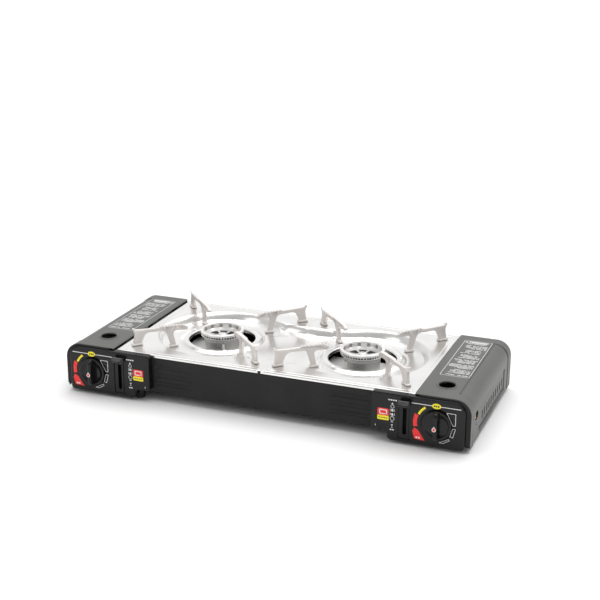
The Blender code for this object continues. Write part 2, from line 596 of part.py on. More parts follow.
def lid(name, side):
    """Top, shoulder and outer wall of a bay in one sheet, hinged along its inner edge."""
    pivot = empty(f"lid_hinge_{name}", (side * HINGE_X, 0, HINGE_Z))
    outline = mirrored(lid_line(0) + lid_line(SHEET)[::-1], side)
    cover = finish(prism("Y", outline, LID_FRONT_Y, LID_BACK_Y), f"lid_{name}", LID_PAINT, pivot)
    rim = LID_HOLE_RADIUS
    low, high = LID_TOP - SHEET / 2, LID_TOP + 0.0009
    profile = [(rim - 0.001, low), (rim + 0.0035, low), (rim + 0.0022, high), (rim - 0.001, high)]
    raised = turned(profile, 28, "Z", (side * LID_HOLE_X, LID_HOLE_Y, 0))
    combine(cover, cutter(raised, f"lid_hole_rim_{name}", pivot), "UNION")
    profile = [(0, LID_TOP - 0.01), (rim, LID_TOP - 0.01), (rim, LID_TOP + 0.01), (0, LID_TOP + 0.01)]
    cuts = turned(profile, 28, "Z", (side * LID_HOLE_X, LID_HOLE_Y, 0))
    low, high = sorted((side * (HALF_LENGTH - 0.01), side * (HALF_LENGTH + 0.01)))
    for k in range(VENTS):
        y = VENT_MIDDLE_Y + (k - (VENTS - 1) / 2) * VENT_PITCH
        box((low, y - VENT_WIDTH / 2, VENT_LOW), (high, y + VENT_WIDTH / 2, VENT_HIGH), cuts)
    port = arc((PORT_Y - 0.0035, PORT_Z), 0.0065, 90, 270, 6)
    port += arc((PORT_Y + 0.0035, PORT_Z), 0.0065, -90, 90, 6)
    prism("X", port, low, high, cuts)
    prism("X", circle((PORT_Y - 0.002, PORT_Z - 0.0125), 0.0022, 10), low, high, cuts)
    combine(cover, cutter(cuts, f"lid_openings_{name}", pivot))
    bore = HINGE_PIN_RADIUS + GAP
    for k in range(3):
        y = (k - 1) * (WALL_Y - KNUCKLE_LENGTH) * 0.85
        end = y + KNUCKLE_LENGTH
        profile = [(bore, y), (KNUCKLE_RADIUS, y), (KNUCKLE_RADIUS, end), (bore, end)]
        knuckle = turned(profile, 12, "Y", (side * HINGE_X, 0, HINGE_Z))
        combine(cover, cutter(knuckle, f"lid_knuckle_{k}_{name}", pivot), "UNION")
    profile = [(0, -WALL_Y), (HINGE_PIN_RADIUS, -WALL_Y), (HINGE_PIN_RADIUS, WALL_Y), (0, WALL_Y)]
    finish(turned(profile, 10, "Y", (side * HINGE_X, 0, HINGE_Z)), f"hinge_pin_{name}", DULL_STEEL)


def panel_outline():
    """Face of the control panel, anticlockwise: deep below the knob and lever, shallow near the middle."""
    low, step, top = PANEL_BOTTOM, PANEL_STEP_Z, PANEL_TOP
    curve = (step - low) / 2
    points = arc((PANEL_OUTER_X - 0.006, low + 0.006), 0.006, -90, 0, 4)
    points += arc((PANEL_OUTER_X - 0.018, top - 0.018), 0.018, 0, 90, 7)
    points += arc((PANEL_INNER_X + 0.005, top - 0.005), 0.005, 90, 180, 4)
    points += arc((PANEL_INNER_X + 0.005, step + 0.005), 0.005, 180, 270, 4)
    points += arc((PANEL_STEP_X - curve, step - curve), curve, 90, 0, 4)
    points += arc((PANEL_STEP_X + curve, low + curve), curve, 180, 270, 4)[1:]
    return points


def anticlockwise(points, side):
    return mirrored(points, side)[::side]


def control_panel(name, side):
    """Moulded front of a bay, hollow behind, with a sunk ring for the knob and a slot for the lever."""
    face = anticlockwise(panel_outline(), side)
    back = -WALL_Y - GAP
    slope = 0.0022
    rings = [(PANEL_FRONT_Y, inset(face, slope)), (PANEL_FRONT_Y + slope, face), (back, face)]
    shell = loft(bmesh.new(), "Y", rings)
    panel = finish(shell, f"control_panel_{name}", GLOSS_BLACK)
    inner = inset(face, PANEL_WALL)
    rings = [(PANEL_FRONT_Y + PANEL_WALL, inset(face, slope + 0.0008)), (PANEL_FRONT_Y + 0.0040, inner)]
    combine(panel, cutter(loft(bmesh.new(), "Y", [*rings, (back + 0.01, inner)]), f"panel_hollow_{name}"))
    cuts = bmesh.new()
    knob = (side * KNOB_X, 0, KNOB_Z)
    sunk = [(0, PANEL_FRONT_Y - 0.003), (KNOB_RADIUS + 0.0022, PANEL_FRONT_Y - 0.003)]
    sunk += [(KNOB_RADIUS + 0.0014, PANEL_FRONT_Y + 0.0010), (0.0085, PANEL_FRONT_Y + 0.0010)]
    sunk += [(0.0085, PANEL_FRONT_Y + 0.010), (0, PANEL_FRONT_Y + 0.010)]
    turned(sunk, 36, "Y", knob, cuts)
    half = LEVER_THICKNESS / 2 + 4 * GAP
    arm = LEVER_WIDTH / 2 / cos(LEVER_REST) + 0.0005
    reach = LEVER_PIVOT_Y - PANEL_FRONT_Y
    rise = reach * tan(LEVER_REST) + arm
    fall = reach * tan(LEVER_SWING - LEVER_REST) + arm
    xs = sorted((side * (LEVER_X - half), side * (LEVER_X + half)))
    box((xs[0], PANEL_FRONT_Y - 0.01, LEVER_PIVOT_Z - fall - 0.002),
        (xs[1], PANEL_FRONT_Y + 0.01, LEVER_PIVOT_Z + rise + 0.001), cuts)
    combine(panel, cutter(cuts, f"panel_cuts_{name}"))
    notches = (
        ("tray", PANEL_INNER_X - 0.001, TRAY_HALF_X + 2 * CLEARANCE, -TRAY_HALF_Y, TRAY_TOP - TRAY_LIP),
        ("hinge", TRAY_HALF_X + GAP, HINGE_X + 0.003, LID_FRONT_Y, HINGE_Z - 0.0063),
    )
    for use, inner, outer, front, floor in notches:
        xs = sorted((side * inner, side * outer))
        notch = box((xs[0], front - CLEARANCE, floor - CLEARANCE), (xs[1], back + 0.01, PANEL_TOP + 0.01))
        combine(panel, cutter(notch, f"{use}_notch_{name}"))


def panel_frame(name, side):
    """Black rim between a panel and its lid: a flange before the lid's edge and a ledge under it."""
    face = panel_outline()
    corner = [p for p in inset(face, -GAP) if p[0] > PANEL_OUTER_X - 0.0185 and p[1] > 0.0150]
    corner = [(PANEL_OUTER_X + GAP, PANEL_BOTTOM + 0.008)] + corner
    start = LID_INNER_X + 0.0065
    inner = corner + [(start, PANEL_TOP + GAP)]
    flange = lid_line(0)
    flange = [(start, LID_TOP)] + flange[1:-1] + [(HALF_LENGTH, PANEL_BOTTOM + 0.008)]
    outline = anticlockwise(inner + flange, side)
    front = LID_FRONT_Y - GAP
    frame = finish(prism("Y", outline, front - FLANGE, front), f"panel_frame_{name}", BLACK_PAINT)
    under = SHEET + CLEARANCE
    ledge = lid_line(under)
    ledge = [(start, LID_TOP - under)] + ledge[1:-1] + [(HALF_LENGTH - under, PANEL_BOTTOM + 0.008)]
    shape = prism("Y", mirrored(inner + ledge, side), front - 0.0010, -WALL_Y - GAP)
    combine(frame, cutter(shape, f"frame_ledge_{name}"), "UNION")


def knob(name, side):
    """Round knob with a raised grip, on a spindle that reaches into the gas valve."""
    place = (side * KNOB_X, 0, KNOB_Z)
    pivot = empty(f"knob_axis_{name}", place)
    back = PANEL_FRONT_Y - 2 * GAP
    bore = SPINDLE_RADIUS + GAP
    radius = KNOB_RADIUS
    face = KNOB_FACE_Y
    hub, end = 0.0068, PANEL_FRONT_Y + 0.006
    profile = [(bore, end), (hub, end), (hub, back), (radius, back)]
    profile += [(radius, face + 0.0010), (radius - 0.0010, face), (0, face), (0, face + 0.0006)]
    profile += [(bore, face + 0.0006)]
    disc = finish(turned(profile, 36, "Y", place), f"knob_{name}", GLOSS_BLACK, pivot)
    half = KNOB_GRIP_WIDTH / 2
    top = face - KNOB_GRIP_HEIGHT
    reach = radius - 0.0004
    across = arc((0, 0), reach, 76, 104, 4) + arc((0, 0), reach, 256, 284, 4)
    low = [(place[0] + x * (half / (reach * cos(radians(76)))), KNOB_Z + z) for x, z in across]
    high = [(place[0] + (x - place[0]) * 0.72, KNOB_Z + (z - KNOB_Z) * 0.90) for x, z in low]
    grip = loft(bmesh.new(), "Y", [(face + 0.0003, low), (top + 0.0025, low), (top, high)])
    combine(disc, cutter(grip, f"knob_grip_{name}", pivot), "UNION")
    low, high = face + 0.0009, VALVE_FRONT_Y + 0.0150
    profile = [(0, low), (SPINDLE_RADIUS, low), (SPINDLE_RADIUS, high), (0, high)]
    finish(turned(profile, 16, "Y", place), f"knob_spindle_{name}", BRASS, pivot)


def lever(name, side):
    """Cartridge lever: a steel plate that swings in the panel's slot, with a tab and a crank pin."""
    pivot = empty(f"lever_axis_{name}", (side * LEVER_X, LEVER_PIVOT_Y, LEVER_PIVOT_Z))
    pivot_point = (LEVER_PIVOT_Y, LEVER_PIVOT_Z)
    half = LEVER_THICKNESS / 2

    def at(distance, across):
        """A point along the lever's arm and across it, upwards."""
        up, level = sin(LEVER_REST), cos(LEVER_REST)
        y = LEVER_PIVOT_Y - distance * level + across * up
        return (y, LEVER_PIVOT_Z + distance * up + across * level)

    width = LEVER_WIDTH / 2
    turn = degrees(LEVER_REST)
    hub = arc(pivot_point, LEVER_PIN_RADIUS + 0.0042, 210 - turn, 510 - turn, 12)
    outline = [at(LEVER_TAB_END - 0.001, width), at(LEVER_TAB_END - 0.001, -width), *hub]
    crank = LEVER_SWING / 2
    pin = (LEVER_PIVOT_Y + CRANK_RADIUS * sin(crank), LEVER_PIVOT_Z + CRANK_RADIUS * cos(crank))
    low, high = sorted((side * (LEVER_X - half), side * (LEVER_X + half)))
    made = finish(prism("X", outline, low, high), f"lever_{name}", BLACK_PAINT, pivot)
    boss = prism("X", circle(pin, 0.0030, 12), low, high)
    combine(made, cutter(boss, f"lever_boss_{name}", pivot), "UNION")
    thick = LEVER_TAB_HEIGHT / 2
    tab = [at(LEVER_TAB_START, -thick), at(LEVER_TAB_START, thick), at(LEVER_TAB_END - 0.001, thick)]
    tab += [at(LEVER_TAB_END, thick - 0.0014), at(LEVER_TAB_END, -thick)]
    wide = LEVER_TAB_WIDTH / 2
    tab = prism("X", tab, side * LEVER_X - wide, side * LEVER_X + wide)
    combine(made, cutter(tab, f"lever_tab_{name}", pivot), "UNION")
    ends = sorted((side * LEVER_X, side * (PUSHER_X + PUSHER_THICKNESS / 2 + 0.001)))
    post = prism("X", circle(pin, CRANK_PIN_RADIUS, 10), *ends)
    combine(made, cutter(post, f"crank_pin_{name}", pivot), "UNION")
    bore = prism("X", circle(pivot_point, LEVER_PIN_RADIUS + GAP, 12), low - 0.001, high + 0.001)
    combine(made, cutter(bore, f"lever_bore_{name}", pivot))

    ear = LEVER_X - 0.0072
    floor = BAY_FLOOR + SHEET + GAP
    outline = [(ear, floor), (LEVER_X + 0.009, floor), (LEVER_X + 0.009, floor + SHEET)]
    top = LEVER_PIVOT_Z + 0.0060
    outline += [(ear + 0.0015, floor + SHEET), (ear + 0.0015, top), (ear, top)]
    bracket = prism("Y", mirrored(outline, side), LEVER_PIVOT_Y - 0.0080, LEVER_PIVOT_Y + 0.0080)
    bracket = finish(bracket, f"lever_bracket_{name}", GALVANISED)
    ends = sorted((side * (ear - 0.002), side * (ear + 0.004)))
    hole = prism("X", circle(pivot_point, LEVER_PIN_RADIUS + GAP, 12), *ends)
    combine(bracket, cutter(hole, f"bracket_hole_{name}"))
    pin_radius, head = LEVER_PIN_RADIUS, LEVER_PIN_RADIUS + 0.0014
    profile = [(0, ear - 0.0018), (head, ear - 0.0018), (head, ear - GAP), (pin_radius, ear - GAP)]
    profile += [(pin_radius, LEVER_X + half + GAP), (head, LEVER_X + half + GAP)]
    profile += [(head, LEVER_X + half + 0.0015), (0, LEVER_X + half + 0.0015)]
    profile = [(radius, side * height) for radius, height in profile][::side]
    finish(turned(profile, 12, "X", (0, *pivot_point)), f"lever_pin_{name}", DULL_STEEL)

    pusher_pivot = empty(f"pusher_slide_{name}", (side * PUSHER_X, pin[0], pin[1]))
    half = PUSHER_THICKNESS / 2
    rod_low = pin[1] - 0.0041
    rod_high = rod_low + PUSHER_HEIGHT
    rod = rectangle((pin[0] - 0.0055, rod_low), (PUSHER_PLATE_Y + PUSHER_PLATE, rod_high))
    low, high = sorted((side * (PUSHER_X - half), side * (PUSHER_X + half)))
    made = finish(prism("X", rod, low, high), f"cartridge_pusher_{name}", DULL_STEEL, pusher_pivot)
    x, near = CARTRIDGE_X, PUSHER_X + 0.0010
    plate = [(near, rod_low - 0.006), (x + 0.018, rod_low - 0.016), (x + 0.024, rod_low - 0.008)]
    plate += [(x + 0.024, rod_high + 0.006), (x + 0.016, rod_high + 0.015), (near, rod_high + 0.002)]
    plate = prism("Y", mirrored(plate, side), PUSHER_PLATE_Y, PUSHER_PLATE_Y + PUSHER_PLATE)
    combine(made, cutter(plate, f"pusher_plate_{name}", pusher_pivot), "UNION")
    slot = CRANK_PIN_RADIUS + GAP
    fork = rectangle((pin[0] - slot, pin[1] - slot - 0.0004), (pin[0] + slot, pin[1] + slot + 0.0018))
    fork = prism("X", fork, low - 0.001, high + 0.001)
    combine(made, cutter(fork, f"pusher_slot_{name}", pusher_pivot))


def build():
    """The whole stove at rest: lids shut, knobs off, levers up."""
    base_pan()
    feet()
    lift = empty("tray_lift", (0, 0, 0))
    hob_tray(lift)
    pan_arms(lift)
    tray_bumper(lift)
    for name, side in SIDES:
        burner(name, side)
        mixing_tube(name, side)
        gas_valve(name, side)
        bay(name, side)
        lid(name, side)
        control_panel(name, side)
        panel_frame(name, side)
        knob(name, side)
        lever(name, side)


for thing in list(bpy.data.objects):
    bpy.data.objects.remove(thing)
build()
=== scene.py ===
"""Looks of a twin-burner camping stove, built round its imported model.

Metres, +Z up. X runs along the stove, the cook stands on the -Y side. Shapes are worked out for the
right end, in a frame whose Y starts at the hob tray's middle, and are mirrored for the left end.
"""

import json
from math import atan2, cos, pi, radians, sin

import bmesh
import bpy
import numpy as np
from mathutils import Euler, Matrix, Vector


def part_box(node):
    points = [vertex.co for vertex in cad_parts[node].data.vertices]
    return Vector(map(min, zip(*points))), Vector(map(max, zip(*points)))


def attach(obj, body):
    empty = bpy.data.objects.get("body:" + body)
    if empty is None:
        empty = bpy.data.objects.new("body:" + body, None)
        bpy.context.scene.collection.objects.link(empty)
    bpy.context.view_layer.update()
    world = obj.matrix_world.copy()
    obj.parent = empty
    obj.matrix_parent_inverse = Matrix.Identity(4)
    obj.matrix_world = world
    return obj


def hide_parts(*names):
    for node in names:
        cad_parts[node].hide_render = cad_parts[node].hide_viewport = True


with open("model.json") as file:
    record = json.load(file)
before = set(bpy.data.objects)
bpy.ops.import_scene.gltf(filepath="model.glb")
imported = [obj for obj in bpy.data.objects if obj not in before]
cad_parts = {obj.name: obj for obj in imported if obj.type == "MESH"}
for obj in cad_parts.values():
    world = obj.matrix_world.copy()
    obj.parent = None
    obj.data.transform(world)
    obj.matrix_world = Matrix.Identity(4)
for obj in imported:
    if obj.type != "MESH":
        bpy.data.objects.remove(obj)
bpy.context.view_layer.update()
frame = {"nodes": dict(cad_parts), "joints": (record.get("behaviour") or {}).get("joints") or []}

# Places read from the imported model
tray_low, tray_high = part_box("hob_tray")
lid_low, lid_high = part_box("lid_right")
panel_low, panel_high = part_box("control_panel_right")
head_low, head_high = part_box("burner_head_right")
drum_low, drum_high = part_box("burner_drum_right")
pan_low, pan_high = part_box("base_pan")
knob_low, knob_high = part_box("knob_right")
foot_low, foot_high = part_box("foot_rear_right")
screw_low, screw_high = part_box("regulator_screw_right")
joint_at = {joint["name"]: joint.get("pos_m") for joint in frame["joints"]}

MID_Y = (tray_low.y + tray_high.y) / 2
HALF_LENGTH = lid_high.x
RIM_RISE = 0.0009           # of the ring pressed round a lid's hole
LID_TOP = lid_high.z - RIM_RISE
LID_INNER_X = lid_low.x
LID_FRONT_Y = lid_low.y - MID_Y
LID_BACK_Y = lid_high.y - MID_Y
LID_BOTTOM = lid_low.z
TRAY_HALF_X = tray_high.x
TRAY_HALF_Y = tray_high.y - MID_Y
TRAY_TOP = tray_high.z
BURNER_X = (head_low.x + head_high.x) / 2
HEAD_RADIUS = (head_high.x - head_low.x) / 2
HEAD_TOP = head_high.z
DRUM_RADIUS = (drum_high.x - drum_low.x) / 2
WALL_Y = pan_high.y - MID_Y
PAN_HALF_X = pan_high.x
BAY_FLOOR = pan_low.z
PANEL_FRONT_Y = panel_low.y - MID_Y
PANEL_INNER_X, PANEL_OUTER_X = panel_low.x, panel_high.x
PANEL_BOTTOM, PANEL_TOP = panel_low.z, panel_high.z
KNOB_X, KNOB_Z = joint_at["knob_right_turn"][0], joint_at["knob_right_turn"][2]
KNOB_RADIUS = (knob_high.x - knob_low.x) / 2
HINGE_X, HINGE_Z = joint_at["lid_right_hinge"][0], joint_at["lid_right_hinge"][2]
LEVER_X, LEVER_Z = joint_at["lever_right_swing"][0], joint_at["lever_right_swing"][2]
LEVER_Y = joint_at["lever_right_swing"][1] - MID_Y
FOOT_X, FOOT_Y = (foot_low.x + foot_high.x) / 2, (foot_low.y + foot_high.y) / 2 - MID_Y
FOOT_RADIUS, FOOT_TOP = (foot_high.x - foot_low.x) / 2, foot_high.z
ARM_TOP = TRAY_TOP + 0.0256

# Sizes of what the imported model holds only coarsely
SHEET = 0.001
GAP, CLEARANCE = 0.0003, 0.0007     # between pieces that stay still, and round those that move
LID_SHOULDER = 0.024
BAY_EDGE_X = HALF_LENGTH - 0.115    # where the floor and the panels step down
TRAY_SKIRT = 0.0046                 # depth of the tray's folded edge
RECESS_RADIUS, RECESS_NECK = 0.108, 0.080
RECESS_SLOPE, RECESS_DEPTH = 0.0095, 0.0109
OPENING_RADIUS, RING_WIDTH, RING_RISE = 0.0546, 0.0144, 0.0029
RECESS_FLOOR = TRAY_TOP - RECESS_DEPTH
ARM_TIP_R, ARM_INNER_FOOT_R, ARM_OUTER_FOOT_R = 0.0597, 0.0845, 0.1460
ARM_THICKNESS = 0.0055
HOLE_X, HOLE_Y, HOLE_RADIUS = HALF_LENGTH - 0.0500, LID_FRONT_Y + 0.0483, 0.0125
VENTS, VENT_PITCH, VENT_WIDTH = 10, 0.0148, 0.0052
VENT_LOW, VENT_HIGH, VENT_MIDDLE_Y = 0.0235, 0.0385, 0.008
PORT_Y, PORT_Z = LID_FRONT_Y + 0.0365, 0.0465
SIDES = (("left", -1), ("right", 1))

WELD = 2e-6                 # points nearer than this become one
CREASE = 38                 # degrees between faces from which an edge stays sharp
INK = 0.00007               # height of a printed mark


# ---------------------------------------------------------------- finishes

class Value:
    """A socket in a finish's node tree. Sums and comparisons with it add Math nodes."""

    def __init__(self, finish, socket):
        self.finish, self.socket = finish, socket

    def maths(self, operation, *values):
        return self.finish.node("Math", {"operation": operation}, *values)

    def __add__(self, other):
        return self.maths("ADD", self, other)

    def __sub__(self, other):
        return self.maths("SUBTRACT", self, other)

    def __rsub__(self, other):
        return self.maths("SUBTRACT", other, self)

    def __mul__(self, other):
        return self.maths("MULTIPLY", self, other)

    def __truediv__(self, other):
        return self.maths("DIVIDE", self, other)

    def __rtruediv__(self, other):
        return self.maths("DIVIDE", other, self)

    def __pow__(self, other):
        return self.maths("POWER", self, other)

    def __gt__(self, other):
        return self.maths("GREATER_THAN", self, other)

    def __lt__(self, other):
        return self.maths("LESS_THAN", self, other)

    def __abs__(self):
        return self.maths("ABSOLUTE", self)

    __radd__, __rmul__ = __add__, __mul__

    def floor(self):
        return self.maths("FLOOR", self)

    def fraction(self):
        return self.maths("FRACT", self)

    def at_least(self, other):
        return self.maths("MAXIMUM", self, other)

    def at_most(self, other):
        return self.maths("MINIMUM", self, other)

    def within(self, low, high):
        """1 between two values, 0 outside them."""
        return (self > low) * (self < high)

    def between(self, low, high):
        """Rises from 0 at low to 1 at high, and stays there."""
        return self.finish.node("MapRange", {"interpolation_type": "SMOOTHSTEP"}, self, low, high, 0.0, 1.0)


class Finish:
    """A Principled material whose patterns are read from the object's own coordinates."""

    def __init__(self, name, **sockets):
        self.material = bpy.data.materials.new(name)
        self.material.use_nodes = True
        self.tree = self.material.node_tree
        self.shader = self.tree.nodes["Principled BSDF"]
        self.spot = self.node("TexCoord", out="Object")
        for socket, value in sockets.items():
            self.give(socket.replace("_", " "), value)

    def node(self, kind, settings=None, *values, out=0, **named):
        """Adds a node: its settings first, then its sockets' values or links. Gives the wanted output."""
        made = self.tree.nodes.new("ShaderNode" + kind)
        for key, value in (settings or {}).items():
            setattr(made, key, value)
        pairs = list(zip(made.inputs, values))
        pairs += [(made.inputs[key.replace("_", " ")], value) for key, value in named.items()]
        for socket, value in pairs:
            if isinstance(value, Value):
                self.tree.links.new(value.socket, socket)
            elif value is not None:
                socket.default_value = value
        return Value(self, made.outputs[out])

    def give(self, socket, value):
        """Sets one of the shader's sockets to a number, a colour or a pattern."""
        target = self.shader.inputs[socket]
        if isinstance(value, Value):
            self.tree.links.new(value.socket, target)
        else:
            target.default_value = (*value, 1.0) if isinstance(value, tuple) else value

    def place(self):
        """X, Y and Z on the object, Y from the middle of the hob tray."""
        parts = self.node("SeparateXYZ", None, self.spot)
        x, y, z = (Value(self, socket) for socket in parts.socket.node.outputs)
        return x, y - MID_Y, z

    def stretched(self, x, y, z):
        """The object's coordinates, each direction scaled by its own factor."""
        return self.node("Mapping", None, self.spot, Scale=(x, y, z))

    def noise(self, size, detail=2.0, spot=None):
        """Soft random values about 0.5, in patches of the given size."""
        return self.node("TexNoise", None, spot or self.spot, Scale=1 / size, Detail=detail)

    def mix(self, factor, first, second):
        """A colour between two others."""
        made = self.tree.nodes.new("ShaderNodeMix")
        made.data_type = "RGBA"
        sockets = {socket.identifier: socket for socket in made.inputs}
        for key, value in (("Factor_Float", factor), ("A_Color", first), ("B_Color", second)):
            if isinstance(value, Value):
                self.tree.links.new(value.socket, sockets[key])
            else:
                sockets[key].default_value = (*value, 1.0) if isinstance(value, tuple) else value
        return Value(self, made.outputs[2])

    def shade(self):
        """The mesh's own shade attribute: 0 in the open, towards 1 in hollows."""
        return self.node("Attribute", {"attribute_name": "shade"}, out="Fac")

    def chance(self, seed):
        """A random value of 0 to 1 for each value of the seed."""
        return self.node("TexWhiteNoise", {"noise_dimensions": "1D"}, W=seed)

    def bump(self, height, depth):
        """Raises the surface by a pattern of 0 to 1 times a depth."""
        self.give("Normal", self.node("Bump", None, Strength=1.0, Distance=depth, Height=height))


def painted(name, colour, dusty, roughness, grain, depth, spread=0.05, **sockets):
    """Paint or moulded plastic: fine grain, cloudy gloss, a second tone in patches, and painted shade in
    hollows.
    """
    made = Finish(name, **sockets)
    clouds = made.noise(0.045, 3.0)
    fine = made.noise(grain, 2.0)
    paint = made.mix(clouds.between(0.35, 0.75) * 0.8 + fine * 0.2, colour, dusty)
    # Painted shade: the colour darkens to about a third of itself where the shade attribute marks hollows.
    made.give("Base Color", made.mix(made.shade(), paint, tuple(0.35 * c for c in colour)))
    made.give("Roughness", clouds * spread + fine * spread + (roughness - spread))
    made.bump(fine, depth)
    return made


def metal(name, colour, darker, roughness, spread, stretch, depth, **sockets):
    """Bare metal: fine lines or grain that run along the short factor's direction, and faint smudges."""
    made = Finish(name, Metallic=1.0, **sockets)
    smudge = made.noise(0.035, 3.0)
    lines = made.node("TexNoise", None, made.stretched(*stretch), Scale=1.0, Detail=3.0)
    made.give("Base Color", made.mix(smudge.between(0.35, 0.7), colour, darker))
    made.give("Roughness", smudge * spread + lines * spread + (roughness - spread))
    made.bump(lines, depth)
    return made


def printed(name, colour):
    """Thin screen-printed ink, a little uneven."""
    made = Finish(name)
    uneven = made.noise(0.0009, 2.0)
    thin = tuple(c * 0.72 for c in colour)
    made.give("Base Color", made.mix(uneven.between(0.3, 0.8) * 0.25, colour, thin))
    made.give("Roughness", uneven * 0.15 + 0.32)
    made.bump(uneven, 0.00002)
    return made


def tray_finish():
    """Polished stainless sheet: bright, with fine brushing along the stove and faint wiping marks."""
    made = Finish("polished stainless", Metallic=1.0)
    smudge = made.noise(0.060, 4.0)
    lines = made.node("TexNoise", None, made.stretched(14.0, 900.0, 900.0), Scale=1.0, Detail=2.0)
    waves = made.noise(0.030, 1.0)
    made.give("Base Color", made.mix(smudge.between(0.3, 0.75), (0.87, 0.865, 0.855), (0.80, 0.79, 0.78)))
    made.give("Roughness", smudge * 0.08 + lines * 0.05 + 0.16)
    made.bump(waves * 0.9 + lines * 0.02, 0.00014)
    return made


def lid_finish():
    """Grey-olive powder coat with a printed label: a thin white frame round rows of small bars."""
    made = Finish("grey-olive powder coat", Specular_IOR_Level=0.42)
    x, y, z = made.place()
    side = abs(x)
    fine, clouds = made.noise(0.0011, 2.0), made.noise(0.050, 3.0)
    left, right, front, back, corner = 0.2625, 0.3080, -0.0525, 0.1085, 0.0022
    across = abs(side - (left + right) / 2) - ((right - left) / 2 - corner)
    along = abs(y - (front + back) / 2) - ((back - front) / 2 - corner)
    beyond_x, beyond_y = across.at_least(0.0), along.at_least(0.0)
    rounding = (beyond_x * beyond_x + beyond_y * beyond_y) ** 0.5
    edge = rounding + across.at_least(along).at_most(0.0) - corner
    line = edge.within(-0.0007, 0.0)
    inside = edge < -0.0022
    line_pitch, word_pitch = 0.0044, 0.0017
    row, in_row = (y / line_pitch).floor(), (y / line_pitch).fraction()
    paragraph = made.chance((row / 4.0).floor())
    start = (right - side) - paragraph * 0.006 - 0.003
    end = (right - left - 0.004) - made.chance(row * 1.37) * 0.017
    word = made.node("CombineXYZ", None, (side / word_pitch).floor(), row, 0.0)
    words = made.node("TexWhiteNoise", {"noise_dimensions": "2D"}, word)
    between_paragraphs = (row / 5.0 + 0.05).fraction() > 0.16
    small = in_row.within(0.16, 0.70) * (words > 0.20) * (start > 0.0) * (start < end) * between_paragraphs
    heading = (y > back - 0.0095) * side.within(left + 0.009, right - 0.006)
    bold = heading * in_row.within(0.10, 0.80) * (words > 0.12)
    on_top = z > LID_TOP - 0.0006
    ink = ((line + inside * (small * 0.75 + bold)) * on_top).at_most(1.0)
    paint = clouds.between(0.3, 0.7) * 0.6 + fine * 0.3
    paint = made.mix(paint, (0.076, 0.077, 0.072), (0.100, 0.101, 0.094))
    # Painted shade: the paint darkens to near black along the pressed lines that the shade attribute marks.
    paint = made.mix(made.shade(), paint, (0.022, 0.022, 0.021))
    made.give("Base Color", made.mix(ink * 0.95, paint, (0.80, 0.81, 0.81)))
    made.give("Roughness", clouds * 0.10 + fine * 0.10 + 0.30)
    made.bump(fine, 0.00006)
    return made


def head_finish():
    """Cast aluminium, machined bright on its rim, with painted shade where the shade attribute says."""
    made = Finish("cast aluminium")
    shade = made.shade()
    grain, smudge = made.noise(0.0012, 3.0), made.noise(0.012, 2.0)
    bright = made.mix(smudge.between(0.3, 0.7), (0.90, 0.89, 0.87), (0.78, 0.77, 0.75))
    # Painted shade: near black, less metallic and rougher where the shade attribute is high.
    made.give("Base Color", made.mix(shade, bright, (0.015, 0.014, 0.013)))
    made.give("Metallic", 0.85 - shade * 0.85)
    made.give("Roughness", grain * 0.16 + shade * 0.4 + 0.24)
    made.bump(grain, 0.00010)
    return made


LOOKS = {
    "black_paint": painted("charcoal paint", (0.0115, 0.012, 0.0115), (0.018, 0.0185, 0.018), 0.42, 0.0012,
                           0.00006, Specular_IOR_Level=0.22),
    "gloss_black": painted("glossy black plastic", (0.0060, 0.0060, 0.0064), (0.009, 0.009, 0.0095), 0.17,
                           0.0016, 0.00002, 0.04, Specular_IOR_Level=0.30),
    "lid_paint": lid_finish(),
    "polished_steel": tray_finish(),
    "arm_enamel": painted("warm grey enamel", (0.80, 0.76, 0.73), (0.69, 0.65, 0.625), 0.34, 0.0014,
                          0.00012, 0.08, Metallic=0.30),
    "cast_aluminium": head_finish(),
    "plain_aluminium": metal("rolled aluminium", (0.78, 0.78, 0.77), (0.66, 0.66, 0.655), 0.34, 0.07,
                             (900.0, 60.0, 900.0), 0.00004),
    "dull_steel": metal("dull steel", (0.50, 0.50, 0.50), (0.36, 0.36, 0.36), 0.38, 0.07,
                        (500.0, 500.0, 40.0), 0.00004),
    "drawn_steel": painted("drawn steel", (0.80, 0.79, 0.77), (0.66, 0.65, 0.63), 0.34, 0.0010, 0.00003,
                           Metallic=0.55),
    "bright_zinc": painted("bright zinc plate", (0.86, 0.86, 0.85), (0.74, 0.74, 0.73), 0.32, 0.0012,
                           0.00003, Metallic=0.35),
    "galvanised": metal("galvanised steel", (0.70, 0.71, 0.71), (0.52, 0.53, 0.54), 0.34, 0.08,
                        (160.0, 160.0, 160.0), 0.00003),
    "brass": metal("turned brass", (0.80, 0.58, 0.26), (0.62, 0.43, 0.18), 0.26, 0.06,
                   (900.0, 900.0, 900.0), 0.00003),
    "ceramic": painted("white ceramic", (0.88, 0.87, 0.83), (0.78, 0.76, 0.71), 0.22, 0.0010, 0.00003),
    "rubber": painted("black rubber", (0.018, 0.018, 0.018), (0.032, 0.032, 0.031), 0.78, 0.0008, 0.00010),
    "zinc_casting": metal("zinc casting", (0.48, 0.48, 0.49), (0.36, 0.36, 0.37), 0.46, 0.09,
                          (420.0, 420.0, 420.0), 0.00012),
    "lever_grey": painted("grey plastic", (0.060, 0.061, 0.062), (0.085, 0.086, 0.087), 0.34, 0.0012,
                          0.00004),
    "white_ink": printed("white ink", (0.80, 0.80, 0.79)),
    "red_ink": printed("red ink", (0.90, 0.022, 0.020)),
    "yellow_ink": printed("yellow ink", (1.0, 0.86, 0.010)),
    "dark_ink": printed("dark ink", (0.020, 0.020, 0.020)),
}


# ---------------------------------------------------------------- shapes

